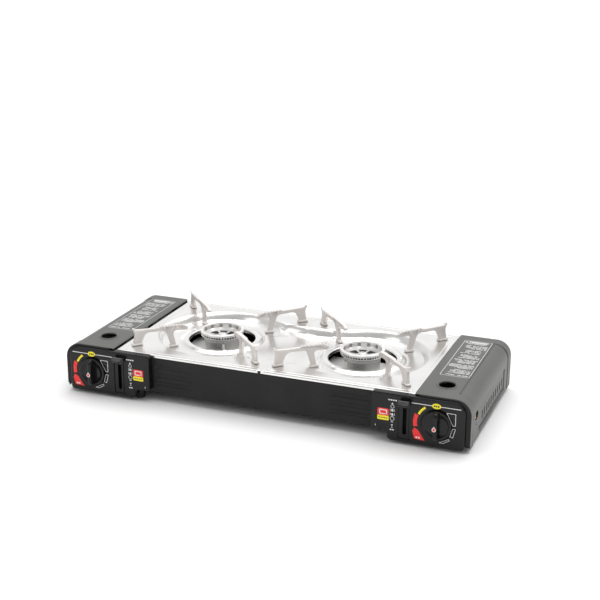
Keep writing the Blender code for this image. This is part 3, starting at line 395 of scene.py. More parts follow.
class Shape:
    """Points and faces of one mesh, gathered from nets of points."""

    def __init__(self):
        self.points, self.faces, self.shades, self.count = [], [], [], 0

    def net(self, points, around=False, along=False, caps=(False, False), shade=0.0):
        """Quads over points (rows, columns, 3). Around joins the last column to the first, along the last
        row to the first, and a cap closes an end row with one face."""
        rows, columns = points.shape[:2]
        corner = self.count + np.arange(rows * columns).reshape(rows, columns)
        for wanted, row in zip(caps, (0, -1)):
            if wanted:
                self.faces.append(corner[row].tolist())
        if along:
            corner = np.vstack([corner, corner[:1]])
        if around:
            corner = np.hstack([corner, corner[:, :1]])
        quads = np.stack([corner[:-1, :-1], corner[:-1, 1:], corner[1:, 1:], corner[1:, :-1]], axis=-1)
        self.faces += quads.reshape(-1, 4).tolist()
        self.points.append(points.reshape(-1, 3))
        self.shades.append(np.broadcast_to(shade, (rows, columns)).ravel())
        self.count += rows * columns
        return self

    def sheet(self, points, thickness, shade=0.0):
        """A closed wall: a net and its copy moved back along its normals, with their edges joined."""
        normal = np.cross(np.gradient(points, axis=0), np.gradient(points, axis=1))
        normal /= np.linalg.norm(normal, axis=2, keepdims=True) + 1e-12
        behind = points - thickness * normal
        self.net(points, shade=shade).net(behind)
        for front, back in ((points[:1], behind[:1]), (points[-1:], behind[-1:])):
            self.net(np.concatenate([front, back], axis=0))
        for front, back in ((points[:, :1], behind[:, :1]), (points[:, -1:], behind[:, -1:])):
            self.net(np.concatenate([front, back], axis=1))
        return self

    def moved(self, turn=0.0, shift=(0, 0, 0), side=1):
        """A copy turned about Z, moved, and mirrored in X where side is -1."""
        c, s = cos(turn), sin(turn)
        rotation = np.array([[c, s, 0], [-s, c, 0], [0, 0, 1]])
        made = Shape()
        made.faces, made.shades, made.count = list(self.faces), list(self.shades), self.count
        made.points = [(p @ rotation + shift) * (side, 1, 1) for p in self.points]
        return made

    def mesh(self, name):
        """The mesh, its doubled corners merged and its faces turned outwards."""
        made = bpy.data.meshes.new(name)
        made.from_pydata((np.concatenate(self.points) + (0, MID_Y, 0)).tolist(), [], self.faces)
        if any(s.any() for s in self.shades):
            layer = made.attributes.new("shade", "FLOAT", "POINT")
            layer.data.foreach_set("value", np.concatenate(self.shades).astype(np.float32))
        work = bmesh.new()
        work.from_mesh(made)
        bmesh.ops.remove_doubles(work, verts=work.verts, dist=WELD)
        bmesh.ops.dissolve_degenerate(work, edges=work.edges, dist=1e-7)
        bmesh.ops.recalc_face_normals(work, faces=work.faces)
        work.to_mesh(made)
        work.free()
        return made


def scratch(mesh):
    """An object for a mesh, on no body yet."""
    made = bpy.data.objects.new("scratch", mesh)
    bpy.context.scene.collection.objects.link(made)
    return made


def carved(mesh, tools, operation="DIFFERENCE"):
    """The mesh with each tool shape cut out of it, or joined on."""
    target = scratch(mesh)
    helpers = [scratch(tool.mesh("tool")) for tool in tools]
    for helper in helpers:
        modifier = target.modifiers.new("cut", "BOOLEAN")
        modifier.operation, modifier.object = operation, helper
    graph = bpy.context.evaluated_depsgraph_get()
    made = bpy.data.meshes.new_from_object(target.evaluated_get(graph))
    for thing in (target, *helpers):
        bpy.data.objects.remove(thing)
    return made


def piece(name, shape, body, look, stands_for=(), crease=CREASE, bevel=0.0):
    """A finished object from a shape or a mesh, on its body and with its finish."""
    mesh = shape.mesh(name) if isinstance(shape, Shape) else shape
    mesh.name = name
    mesh.materials.clear()
    mesh.materials.append(LOOKS[look].material)
    mesh.shade_smooth()
    mesh.set_sharp_from_angle(angle=radians(crease))
    made = bpy.data.objects.new(name, mesh)
    bpy.context.scene.collection.objects.link(made)
    if bevel:
        modifier = made.modifiers.new("soft edges", "BEVEL")
        modifier.width, modifier.segments, modifier.angle_limit = bevel, 2, radians(CREASE)
        modifier.harden_normals = False
    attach(made, body)
    if stands_for:
        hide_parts(*stands_for)
    return made


def softened(node, body, look, bevel=0.0004, crease=CREASE):
    """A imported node's own shape, with its corners merged and its edges rounded a little."""
    mesh = frame["nodes"][node].data.copy()
    work = bmesh.new()
    work.from_mesh(mesh)
    bmesh.ops.remove_doubles(work, verts=work.verts, dist=WELD)
    bmesh.ops.dissolve_limit(work, angle_limit=radians(0.5), verts=work.verts, edges=work.edges)
    work.to_mesh(mesh)
    work.free()
    for layer in [a.name for a in mesh.attributes if a.name == "custom_normal"]:
        mesh.attributes.remove(mesh.attributes[layer])
    return piece(node + "_fine", mesh, body, look, (node,), crease, bevel)


def arc(centre, radius, start, end, steps):
    """Points of an arc, its angles in degrees."""
    turn = np.radians(np.linspace(start, end, steps + 1))
    return np.stack([centre[0] + radius * np.cos(turn), centre[1] + radius * np.sin(turn)], axis=1)


def run(*parts):
    """One outline from points and arcs, in order."""
    return np.concatenate([np.atleast_2d(np.array(part, float)) for part in parts])


def about(x, z, *steps):
    """Points given by their distances from one place, in millimetres."""
    return np.array(steps, float) / 1000 + (x, z)


def rounded(outline, rounds=2):
    """Cuts each corner at a quarter and three quarters of its edges, a few times over."""
    for _ in range(rounds):
        after = np.roll(outline, -1, axis=0)
        pairs = [outline * 0.75 + after * 0.25, outline * 0.25 + after * 0.75]
        outline = np.stack(pairs, axis=1).reshape(-1, 2)
    return outline


def block(x, z, width, height, corner, steps=5):
    """A rectangle about its middle with rounded corners, anticlockwise."""
    reach, rise = width / 2 - corner, height / 2 - corner
    return run(*(arc((x + a * reach, z + b * rise), corner, start, start + 90, steps)
                 for a, b, start in ((1, 1, 0), (-1, 1, 90), (-1, -1, 180), (1, -1, 270))))


def spaced(outline, step):
    """The closed outline's points set equally far apart."""
    closed = np.vstack([outline, outline[:1]])
    way = np.concatenate([[0], np.cumsum(np.linalg.norm(np.diff(closed, axis=0), axis=1))])
    at = np.linspace(0, way[-1], int(way[-1] / step), endpoint=False)
    return np.stack([np.interp(at, way, closed[:, k]) for k in (0, 1)], axis=1)


def inset(outline, distance):
    """An anticlockwise outline moved inwards, each corner along its mitre."""
    before = outline - np.roll(outline, 1, axis=0)
    after = np.roll(outline, -1, axis=0) - outline
    before /= np.linalg.norm(before, axis=1, keepdims=True)
    after /= np.linalg.norm(after, axis=1, keepdims=True)
    normal = np.stack([-before[:, 1] - after[:, 1], before[:, 0] + after[:, 0]], axis=1)
    normal /= np.linalg.norm(normal, axis=1, keepdims=True)
    reach = normal[:, 1] * before[:, 0] - normal[:, 0] * before[:, 1]
    return outline + normal * (distance / np.maximum(reach, 0.35))[:, None]


def laid(axis, outline, height):
    """Outline points at a height along an axis, as points in space."""
    level = np.full(len(outline), height)
    a, b = outline[:, 0], outline[:, 1]
    return np.stack({"X": (level, a, b), "Y": (a, level, b), "Z": (a, b, level)}[axis], axis=1)


def loft(axis, rings):
    """A closed solid through outlines of equal count, given as (height, outline)."""
    return Shape().net(np.stack([laid(axis, outline, height) for height, outline in rings]), around=True,
                       caps=(True, True))


def slab(axis, outline, low, high, edge=0.0, steps=3):
    """An outline carried along an axis. Near each face it shrinks as a quarter circle, to round the rim."""
    if not edge:
        return loft(axis, [(low, outline), (high, outline)])
    turns = np.radians(np.linspace(0, 90, steps + 1))
    rise = [(edge * (1 - sin(t)), edge * (1 - cos(t))) for t in turns[::-1]]
    rings = [(low + up, inset(outline, back)) for up, back in rise]
    rings += [(high - up, inset(outline, back)) for up, back in rise[::-1]]
    return loft(axis, rings)


def box(low, high):
    """A plain block between two corners."""
    outline = np.array([(low[0], low[1]), (high[0], low[1]), (high[0], high[1]), (low[0], high[1])], float)
    return slab("Z", outline, low[2], high[2])


def turned(profile, steps=64, axis="Z", place=(0, 0, 0)):
    """A solid of revolution: a profile of (radius, height), closed or from axis to axis, turned."""
    profile = np.array(profile, float)
    turn = np.linspace(0, 2 * pi, steps, endpoint=False)
    a, b = profile[:, :1] * np.cos(turn), profile[:, :1] * np.sin(turn)
    level = np.broadcast_to(profile[:, 1:], a.shape)
    points = np.stack({"X": (level, a, b), "Y": (a, level, b), "Z": (a, b, level)}[axis], axis=2)
    return Shape().net(points + np.array(place), around=True, along=profile[0, 0] > 0)


def pebble(centre, half, power=0.35, rows=17, columns=32):
    """A rounded block: a sphere whose sines and cosines are raised to a small power, so it nears a box."""
    rise = np.linspace(-pi / 2, pi / 2, rows)[:, None]
    turn = np.linspace(0, 2 * pi, columns, endpoint=False)[None]

    def blunt(value):
        return np.sign(value) * np.abs(value) ** power

    flat, up = blunt(np.cos(rise)) + 0 * turn, blunt(np.sin(rise)) + 0 * turn
    points = np.stack([flat * blunt(np.cos(turn)), flat * blunt(np.sin(turn)), up], axis=2)
    return Shape().net(points * np.array(half) + np.array(centre), around=True)


def joined(*shapes):
    """Several shapes as one."""
    made = Shape()
    for shape in shapes:
        made.faces += [[corner + made.count for corner in face] for face in shape.faces]
        made.points += shape.points
        made.shades += shape.shades
        made.count += shape.count
    return made


def smooth_step(value, low, high):
    """Rises from 0 at low to 1 at high, level at both ends."""
    share = np.clip((value - low) / (high - low), 0, 1)
    return share * share * (3 - 2 * share)


def stops(*parts):
    """Places along a line: the start, then each part (end, step) reached from the last in equal steps."""
    found = [np.array([parts[0]])]
    for end, step in parts[1:]:
        start = found[-1][-1]
        count = max(1, int(round(abs(end - start) / step)))
        found.append(np.linspace(start, end, count + 1)[1:])
    return np.concatenate(found)


# ---------------------------------------------------------------- hob tray

def inside_recess(x, y):
    """How far a point lies inside the recess's edge: within a burner's circle, or between the hollow arcs
    that join the two circles across the middle."""
    x, y = np.abs(x), np.abs(y)
    join = (BURNER_X ** 2 + RECESS_NECK ** 2 - RECESS_RADIUS ** 2) / (2 * (RECESS_RADIUS - RECESS_NECK))
    reach = RECESS_NECK + join
    between = x * reach < BURNER_X * (reach - y)
    return np.where(between, np.hypot(x, reach - y) - join, RECESS_RADIUS - np.hypot(x - BURNER_X, y))


def tray_height(x, y):
    """Height of the sheet: the flat rim, a wall that falls as the power 1.5 of its share, the floor, and a
    raised ring round the opening with two small dimples."""
    share = np.clip(inside_recess(x, y) / RECESS_SLOPE, 0, 1)
    across = x - BURNER_X
    r = np.hypot(across, y)
    ring_foot = OPENING_RADIUS + RING_WIDTH
    ring = RING_RISE * (1 - smooth_step(r, ring_foot - 0.0065, ring_foot))
    brink = np.clip((OPENING_RADIUS + 0.0022 - r) / 0.0022, 0, 1)
    ring = ring - 0.0022 * (1 - np.sqrt(1 - brink ** 2))
    groove = -0.0005 * np.exp(-((r - ring_foot - 0.0018) / 0.0012) ** 2)
    for angle in (-118, 18):
        spot = np.hypot(across - 0.0615 * cos(radians(angle)), y - 0.0615 * sin(radians(angle)))
        ring = ring - 0.0016 * np.exp(-(spot / 0.0017) ** 2)
    border = np.minimum(TRAY_HALF_X - np.abs(x), TRAY_HALF_Y - np.abs(y))
    bead = -0.0004 * np.exp(-((border - 0.0085) / 0.0010) ** 2)
    fold = 0.0016
    over = np.clip((fold - border) / fold, 0, 1)
    drop = fold * (1 - np.sqrt(1 - over ** 2))
    return TRAY_TOP - RECESS_DEPTH * share ** 1.5 + ring + groove + bead - drop


def hob_tray():
    """Half the tray as rays from a burner's opening to the half's border, its rows closer where the sheet
    bends; then the folded edge, the opening's lip and the underside; the other half is its mirror image."""
    far = atan2(TRAY_HALF_Y, TRAY_HALF_X - BURNER_X)
    near = atan2(TRAY_HALF_Y, -BURNER_X)
    outer = np.concatenate([np.linspace(-near, -far, 49)[:-1], np.linspace(-far, far, 65)[:-1],
                            np.linspace(far, near, 49)])
    neck = np.linspace(near, 2 * pi - near, 97)[1:-1]
    turn = np.concatenate([outer, neck])[:, None]
    with np.errstate(divide="ignore"):
        to_side = np.where(np.cos(turn) > 0, TRAY_HALF_X - BURNER_X, -BURNER_X) / np.cos(turn)
        to_edge = TRAY_HALF_Y / np.abs(np.sin(turn))
    border = np.minimum(to_side, to_edge)
    share = np.linspace(0, 1, 500)[None]
    r = OPENING_RADIUS + (border - OPENING_RADIUS) * share
    depth = inside_recess(BURNER_X + r * np.cos(turn), r * np.sin(turn))
    edge_x = TRAY_HALF_X - np.abs(BURNER_X + r * np.cos(turn))
    edge_y = TRAY_HALF_Y - np.abs(r * np.sin(turn))
    on_ring = r < OPENING_RADIUS + RING_WIDTH + 0.004
    on_slope = (depth > -0.002) & (depth < RECESS_SLOPE + 0.003)
    on_edge = np.minimum(edge_x, edge_y) < 0.0115
    need = 0.5 + 5.0 * on_ring + 6.0 * on_slope + 5.0 * on_edge
    way = np.cumsum(need * (border - OPENING_RADIUS), axis=1)
    way = (way - way[:, :1]) / (way[:, -1:] - way[:, :1])
    rows = np.linspace(0, 1, 84)
    r = np.stack([np.interp(rows, w, line) for w, line in zip(way, r)])
    x, y = BURNER_X + r * np.cos(turn), r * np.sin(turn)
    top = np.stack([x, y, tray_height(x, y)], axis=2).transpose(1, 0, 2)
    under = top.copy()
    under[:, :, 0] = np.clip(under[:, :, 0], None, TRAY_HALF_X - SHEET)
    under[:, :, 1] = np.clip(under[:, :, 1], SHEET - TRAY_HALF_Y, TRAY_HALF_Y - SHEET)
    under[:, :, 2] -= SHEET
    lip_bottom, skirt_bottom = RECESS_FLOOR + RING_RISE - 0.006, TRAY_TOP - TRAY_SKIRT
    half = Shape().net(top, around=True).net(under[1:], around=True)
    down = np.repeat(top[:1], 3, axis=0)
    down[1, :, 2], down[2, :, 2] = lip_bottom, lip_bottom
    down[2, :, :2] = under[1, :, :2]
    half.net(np.concatenate([down, under[1:2]]), around=True)
    count = len(outer)
    fold = np.repeat(top[-1:, :count], 3, axis=0)
    fold[1:, :, 2] = skirt_bottom
    fold[2, :, :2] = under[-1, :count, :2]
    half.net(np.concatenate([fold, under[-1:, :count]]))
    whole = joined(half, half.moved(side=-1))
    piece("hob_tray_pressed", whole, "tray", "polished_steel", ("hob_tray",), crease=50)


# ---------------------------------------------------------------- pan supports

def arm_shape():
    """One pan support along +X from its burner: a side outline with bumps on its top edge, rounded at its
    rims, and a block at the foot of each leg."""
    inner, outer, top = ARM_INNER_FOOT_R, ARM_OUTER_FOOT_R, ARM_TOP
    low_in, low_out = RECESS_FLOOR + GAP, TRAY_TOP + GAP
    horn = arc((outer + 0.0061, top + 0.0033), 0.0019, -30, 165, 8)
    tip = arc((ARM_TIP_R + 0.0033, top - 0.0062), 0.0039, 80, 275, 9)
    outline = run(
        about(outer, low_out, (6.0, 0), (6.0, 4.0)), about(outer, top, (3.8, -7.5), (5.2, -0.5)), horn,
        about(outer, top, (2.8, 1.6), (-6.0, 0.8), (-23.0, 0.3)), (inner + 0.0120, top),
        (ARM_TIP_R + 0.0130, top - 0.0010), tip, (ARM_TIP_R + 0.0140, top - 0.0090),
        about(inner, top, (-2.0, -9.2), (1.2, -12.5)),
        about(inner, low_in, (-3.5, 4.0), (-5.8, 0), (5.8, 0), (5.6, 4.0)),
        about(inner, top, (13.0, -9.0), (17.5, -6.6)), about(outer, top, (-18.5, -6.0), (-13.0, -9.0)),
        about(outer, low_out, (-7.2, 4.0), (-6.6, 0)))
    outline = spaced(rounded(spaced(outline, 0.0034), 3), 0.0008)
    r, z = outline[:, 0], outline[:, 1]
    start, end, pitch = 0.0650, 0.1082, 0.0054
    crest = np.interp(r, (start, 0.0757, 0.0965, end), (top - 0.0028, top - 0.0008, top, top + 0.0001))
    wave = np.abs(np.sin(pi * (r - start) / pitch)) * (r > start) * (r < end)
    outline[:, 1] += np.where(z > crest - 0.0020, 0.0018 * wave - 0.0005, 0)
    half = ARM_THICKNESS / 2
    bar = slab("Y", outline, -half, half, 0.0009, 4)
    r, y, z = bar.points[0].T
    ridge = np.abs(np.sin(pi * (r - start) / pitch))
    near_top = smooth_step(z, top - 0.0046, top - 0.0016)
    inside = (r > start) & (r < end)
    y *= 1 + (0.42 * ridge - 0.12) * near_top * inside
    # Painted shade: the valleys between the bumps on the arm's top are darkened through the shade attribute.
    bar.shades = [0.75 * np.clip(1 - 1.6 * ridge, 0, 1) * near_top * inside]
    feet = [pebble((inner, 0, low_in + 0.0019), (0.0078, 0.0042, 0.0019)),
            pebble((outer - 0.0002, 0, low_out + 0.0017), (0.0092, 0.0045, 0.0017))]
    return joined(bar, *feet)


def pan_arms():
    """The eight supports are one shape, turned about its burner and mirrored."""
    arm = arm_shape()
    for name, side in SIDES:
        for k, corner in enumerate(("rear_outer", "rear_inner", "front_inner", "front_outer")):
            placed = arm.moved(radians(45 + 90 * k), (BURNER_X, 0, 0), side)
            node = f"pan_arm_{corner}_{name}"
            piece(node + "_cast", placed, "tray", "arm_enamel", (node,), crease=50)


# ---------------------------------------------------------------- burners

def burner_head(name, side):
    """A turned profile with square ports under its rim, shallow lugs on its inner wall and crescents in its
    floor: each is where the radius or the height is moved by a mask of angle and height."""
    steps, ports, lugs, crescents = 480, 48, 12, 8
    outer, floor = HEAD_RADIUS, HEAD_TOP - 0.0120
    bottom, bowl = HEAD_TOP - 0.0105, HEAD_TOP - 0.0148
    profile = run(
        (0, bowl), (0.0180, bowl), (0.0270, bowl), (0.0276, bottom - 0.0002),
        about(outer, bottom, (-5.6, 0), (-4.0, 0.6), (-1.2, 1.8), (-0.8, 2.2), (-1.0, 2.8), (-1.0, 2.9),
              (-1.0, 6.2), (-1.0, 6.3), (-1.0, 7.2)),
        (outer - 0.0002, HEAD_TOP - 0.0027), arc((outer - 0.0008, HEAD_TOP - 0.0018), 0.0008, -20, 20, 2),
        arc((outer - 0.0010, HEAD_TOP - 0.0010), 0.0010, 10, 90, 4),
        arc((outer - 0.0042, HEAD_TOP - 0.0010), 0.0010, 90, 180, 4),
        about(outer, HEAD_TOP, (-5.6, -2.4), (-5.8, -2.6), (-6.0, -7.8), (-6.1, -8.0)),
        about(0, floor, (26.2, 0), (25.2, 0), (24.8, 0), (22.0, 0), (16.0, 0), (11.2, 0), (10.8, 0),
              (8.5, 0.4), (6.6, 3.0), (5.0, 4.4), (3.0, 4.6), (2.6, 3.8), (0, 3.8)))
    turn = np.linspace(0, 2 * pi, steps, endpoint=False)[None]
    r, z = profile[:, :1] + 0 * turn, profile[:, 1:] + 0 * turn

    def share(count, shift=0.0):
        """Of one of the count of equal sectors, how much is passed at each angle."""
        return np.mod(turn * count / (2 * pi) + shift, 1)

    in_port = (share(ports) < 0.65) & (r > outer - 0.0012)
    in_port &= (z > bottom + 0.00285) & (z < bottom + 0.00625)
    in_lug = (share(lugs, 0.2) < 0.30) & (np.abs(r - outer + 0.0059) < 0.0002)
    in_lug &= (z < HEAD_TOP - 0.0025) & (z > HEAD_TOP - 0.0079)
    in_crescent = (share(crescents) < 0.74) & (r > 0.0110) & (r < 0.0250) & (np.abs(z - floor) < 0.0001)
    r = r - 0.0020 * in_port + 0.0016 * in_lug
    z = z - 0.0019 * in_crescent
    points = np.stack([side * BURNER_X + r * np.cos(turn), r * np.sin(turn), z], axis=2)
    # Painted shade: the ports, the crescents and the windows between the lugs are darkened as holes and
    # hollows, the bowl a little.
    in_bowl = (r < 0.0268) & (z > bowl + 0.001)
    shade = np.minimum(1.0 * in_port + 0.40 * in_lug + 1.0 * in_crescent + 0.25 * in_bowl, 1.0)
    shape = Shape().net(points, around=True, shade=shade)
    node = f"burner_head_{name}"
    piece(f"burner_head_cast_{name}", shape, "stove_body", "cast_aluminium", (node,))


def burner_drum(name, side):
    """Drawn steel cup: slightly conical, with a rolled foot, a bead under its rim and an open bottom."""
    low, top, wall, bore = drum_low.z, drum_high.z, 0.0012, 0.0066
    foot = DRUM_RADIUS - 0.0012
    profile = run((bore, low), arc((foot - 0.0020, low + 0.0020), 0.0020, -90, 0, 5),
                  about(foot, low, (0.2, 6.0), (0.4, 9.0)), (foot + 0.0009, top - 0.0060),
                  arc((foot + 0.0007, top - 0.0040), 0.0008, -60, 60, 5),
                  (DRUM_RADIUS - 0.0001, top - 0.0020), (DRUM_RADIUS, top), (DRUM_RADIUS - wall, top),
                  (foot - wall, low + 0.0030), (foot - 0.0035, low + wall), (bore, low + wall))
    cup = turned(profile, 96, "Z", (side * BURNER_X, 0, 0))
    node = f"burner_drum_{name}"
    piece(f"burner_drum_drawn_{name}", cup, "stove_body", "drawn_steel", (node,))


def electrode(name):
    """Igniter's white ceramic stem with its wire, and the strip that clips it to the drum."""
    low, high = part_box(f"electrode_{name}")
    x, y = (low.x + high.x) / 2, (low.y + high.y) / 2 - MID_Y
    base, tip = low.z, high.z
    stem = run((0, base), (0.0028, base), arc((0.0022, base + 0.0006), 0.0008, -20, 60, 3),
               about(0, base, (3.0, 4.0), (2.4, 4.8), (2.1, 5.2)),
               about(0, tip, (2.1, -6.0), (1.7, -4.6), (0, -4.4)))
    stem = turned(stem, 32, "Z", (x, y, 0))
    piece(f"electrode_stem_{name}", stem, "stove_body", "ceramic", (f"electrode_{name}",))
    wire = about(0, tip, (0, -5.0), (0.6, -5.0), (0.6, -0.2), (0.3, 0), (0, 0))
    wire = turned(wire, 16, "Z", (x, y, 0))
    piece(f"electrode_wire_{name}", wire, "stove_body", "dull_steel")
    outline = about(x, y, (-4.2, -3.0), (4.2, -3.0), (4.2, 4.5), (-4.2, 4.5))
    strip = slab("Z", outline, base + 0.0044, base + 0.0056, 0.0003, 2)
    hole = turned([(0, base), (0.0024, base), (0.0024, base + 0.01), (0, base + 0.01)], 32, "Z", (x, y, 0))
    piece(f"electrode_clip_{name}", carved(strip.mesh("strip"), [hole]), "stove_body", "galvanised")


# ---------------------------------------------------------------- body

def body_top(x):
    """Height of the front and back walls along the stove: under the tray, an ear round the hinge pin, then
    under the lid's top and round its shoulder."""
    x = np.abs(x)
    under_tray, under_lid = TRAY_TOP - SHEET - GAP, LID_TOP - SHEET - CLEARANCE
    ear = 0.0022
    centre = HALF_LENGTH - LID_SHOULDER
    radius = LID_SHOULDER - SHEET - CLEARANCE
    shoulder = LID_TOP - LID_SHOULDER + np.sqrt(np.maximum(radius ** 2 - np.maximum(x - centre, 0) ** 2, 0))
    sweep = HINGE_Z - (HINGE_X - LID_INNER_X + 0.002)
    hinge = HINGE_Z + np.sqrt(np.maximum(ear ** 2 - (x - HINGE_X) ** 2, 0))
    height = np.where(x < TRAY_HALF_X - SHEET - GAP, under_tray, sweep)
    height = np.where(x > HINGE_X - ear, hinge, height)
    return np.where(x > HINGE_X + 0.0032, np.minimum(under_lid, shoulder), height)


def body_floor(x):
    """Height of the floor: shallow in the middle, deeper under the bays."""
    return np.interp(np.abs(x), (BAY_EDGE_X - 0.0010, BAY_EDGE_X + 0.0014), (FOOT_TOP + GAP, BAY_FLOOR))


def base_pan():
    """Folded sheet: each section across the stove runs down the front wall, round a fold, along the floor
    and up the back wall. Three long grooves are pressed into each end of each wall."""
    half = stops(0.0, (0.100, 0.010), (PANEL_INNER_X, 0.0022), (BAY_EDGE_X - 0.0012, 0.009),
                 (BAY_EDGE_X + 0.0016, 0.0004), (TRAY_HALF_X - 0.0016, 0.007),
                 (TRAY_HALF_X - 0.0010, 0.0003), (HINGE_X - 0.0024, 0.0012), (HINGE_X + 0.0038, 0.0003),
                 (HALF_LENGTH - LID_SHOULDER, 0.010), (PAN_HALF_X, 0.0012))
    x = np.concatenate([-half[:0:-1], half])
    low, high = body_floor(x), body_top(x)
    fold = 0.0022
    wall = np.linspace(0, 1, 44)[:, None]
    z = high * (1 - wall) + (low + fold) * wall
    groove_half, groove_slope, groove_depth = 0.0046, 0.0018, 0.0016
    grooves = sum(smooth_step(groove_half - np.abs(z - level), 0.0, groove_slope)
                  for level in (0.0310, 0.0450, 0.0590))
    groove_start, groove_end = 0.110, PANEL_INNER_X - 0.0045
    reach = smooth_step(np.abs(x), groove_start, groove_start + 0.014)
    reach = reach * (1 - smooth_step(np.abs(x), groove_end - 0.0030, groove_end))
    y = -WALL_Y + groove_depth * grooves * reach
    turn = np.radians(np.linspace(0, 90, 7))[1:-1, None]
    bend_y = -WALL_Y + fold * (1 - np.cos(turn)) + 0 * x
    bend_z = low + fold * (1 - np.sin(turn))
    ground = np.linspace(fold - WALL_Y, 0, 5)[:, None] + 0 * x
    rows_y = np.concatenate([y, bend_y, ground])
    rows_z = np.concatenate([z, bend_z, np.broadcast_to(low, ground.shape)])
    rows_y = np.concatenate([rows_y, -rows_y[-2::-1]])
    rows_z = np.concatenate([rows_z, rows_z[-2::-1]])
    skin = np.stack([np.broadcast_to(x, rows_y.shape), rows_y, rows_z], axis=2)
    pan = Shape().sheet(skin[:, ::-1], SHEET)
    for side in (-1, 1):
        low_x, high_x = sorted((side * (PAN_HALF_X - SHEET), side * PAN_HALF_X))
        pan = joined(pan, box((low_x, -WALL_Y, BAY_FLOOR), (high_x, WALL_Y, BAY_FLOOR + 0.012)))
    piece("base_pan_folded", pan, "stove_body", "black_paint", ("base_pan",))


def feet():
    """Moulded rubber feet with a rounded rim and a hollow under the middle, flat where they stand."""
    r, top = FOOT_RADIUS, FOOT_TOP
    profile = run(about(0, 0, (0, 1.0), (2.2, 1.0), (2.6, 0)), (r - 0.0010, 0),
                  arc((r - 0.0010, 0.0010), 0.0010, -80, 0, 4),
                  about(r, 0, (0, 5.2), (-0.7, 5.6), (-0.7, 6.4), (0, 6.8)), (r, top), (0, top))
    for name, side in SIDES:
        for end, way in (("front", -1), ("rear", 1)):
            shape = turned(profile, 48, "Z", (side * FOOT_X, way * FOOT_Y, 0))
            node = f"foot_{end}_{name}"
            piece(node + "_moulded", shape, "stove_body", "rubber", (node,))


def tray_stud():
    """Small rubber stud through the middle of the tray's folded front edge."""
    low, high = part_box("tray_bumper")
    z, back = (low.z + high.z) / 2, high.y - MID_Y
    front = -TRAY_HALF_Y - 0.0013
    stem, head = 0.0018, 0.0026
    corner = head - stem
    profile = run((0, back), (stem, back), (stem, -TRAY_HALF_Y), (head, -TRAY_HALF_Y),
                  (head, front + corner), arc((stem, front + corner), corner, 0, -90, 4), (0, front))
    stud = turned(profile, 32, "Y", (0, 0, z - 0.0006))
    piece("tray_stud", stud, "tray", "rubber", ("tray_bumper",))


# ---------------------------------------------------------------- lids

def lid_skin():
    """The lid's outer face as a net: rows round its section, columns along it, moved in or out where the
    sheet is pressed."""
    flat_end = HALF_LENGTH - LID_SHOULDER
    top_x = stops(LID_INNER_X, (HOLE_X - 0.018, 0.0024), (HOLE_X + 0.018, 0.0009), (flat_end, 0.0012))
    bend = arc((flat_end, LID_TOP - LID_SHOULDER), LID_SHOULDER, 90, 0, 26)
    side_z = stops(LID_TOP - LID_SHOULDER, (0.0520, 0.0014), (0.0110, 0.0011), (LID_BOTTOM, 0.0012))
    section = run(np.stack([top_x, np.full_like(top_x, LID_TOP)], axis=1), bend[1:],
                  np.stack([np.full_like(side_z, HALF_LENGTH), side_z], axis=1)[1:])
    y = stops(LID_FRONT_Y, (-0.0740, 0.0010), (0.0800, 0.0016), (LID_BACK_Y, 0.0010))
    steps = np.gradient(section, axis=0)
    steps /= np.linalg.norm(steps, axis=1, keepdims=True)
    out = np.stack([-steps[:, 1], steps[:, 0]], axis=1)
    x, z = section[:, :1] + 0 * y, section[:, 1:] + 0 * y
    y = y[None] + 0 * x
    way = np.concatenate([[0], np.cumsum(np.linalg.norm(np.diff(section, axis=0), axis=1))])[:, None]
    from_top = way - (0.3100 - LID_INNER_X)
    field = np.minimum(np.minimum(from_top, y + 0.1175), 0.1095 - y)
    vent_field = np.maximum(np.abs(y - 0.0030) - 0.0850, np.abs(z - 0.0310) - 0.0180)
    vent_field = np.where(x > HALF_LENGTH - 0.004, -vent_field, -1.0)

    def ridge(distance, width):
        """1 along a line, fading on both sides of it."""
        return np.exp(-(distance / width) ** 2)

    slope = 0.0012
    press = -0.0009 * smooth_step(field, -slope, slope) - 0.0012 * smooth_step(vent_field, -slope, slope)
    lines = ridge(field - 0.0002, 0.0012) + ridge(vent_field - 0.0002, 0.0014)
    lines = lines + 0.7 * (ridge(y + 0.1270, 0.0010) + ridge(y - 0.1225, 0.0010)) * (z < 0.0600)
    fold = 1 - np.sqrt(1 - np.clip(1 - way / 0.0012, 0, 1) ** 2)
    press = press - 0.0006 * lines - 0.0009 * fold
    skin = np.stack([x + out[:, :1] * press, y, z + out[:, 1:] * press], axis=2)
    # The second value is painted shade: a mask that darkens the paint along the pressed lines.
    return skin, 0.75 * np.clip(lines, 0, 1)


def lid_cuts():
    """What is cut through the lid: the view hole, the row of vents and the port over the regulator screw."""
    past = 0.01
    across, low, high = (HALF_LENGTH - past, HALF_LENGTH + past), LID_TOP - past, LID_TOP + past
    hole = [(0, low), (HOLE_RADIUS, low), (HOLE_RADIUS, high), (0, high)]
    cuts = [turned(hole, 96, "Z", (HOLE_X, HOLE_Y, 0))]
    round_end = VENT_WIDTH / 2
    for k in range(VENTS):
        y = VENT_MIDDLE_Y + (k - (VENTS - 1) / 2) * VENT_PITCH
        outline = run(arc((y, VENT_HIGH - round_end), round_end, 0, 180, 8),
                      arc((y, VENT_LOW + round_end), round_end, 180, 360, 8))
        cuts.append(slab("X", outline, *across))
    half, reach = 0.0065, 0.0035
    port = run(arc((PORT_Y + reach, PORT_Z), half, -90, 90, 14),
               arc((PORT_Y - reach, PORT_Z), half, 90, 270, 14))
    cuts.append(slab("X", port, *across))
    cuts.append(slab("X", arc((PORT_Y - 0.002, PORT_Z - 0.0125), 0.0022, 0, 345, 23), *across))
    return [joined(*cuts)]


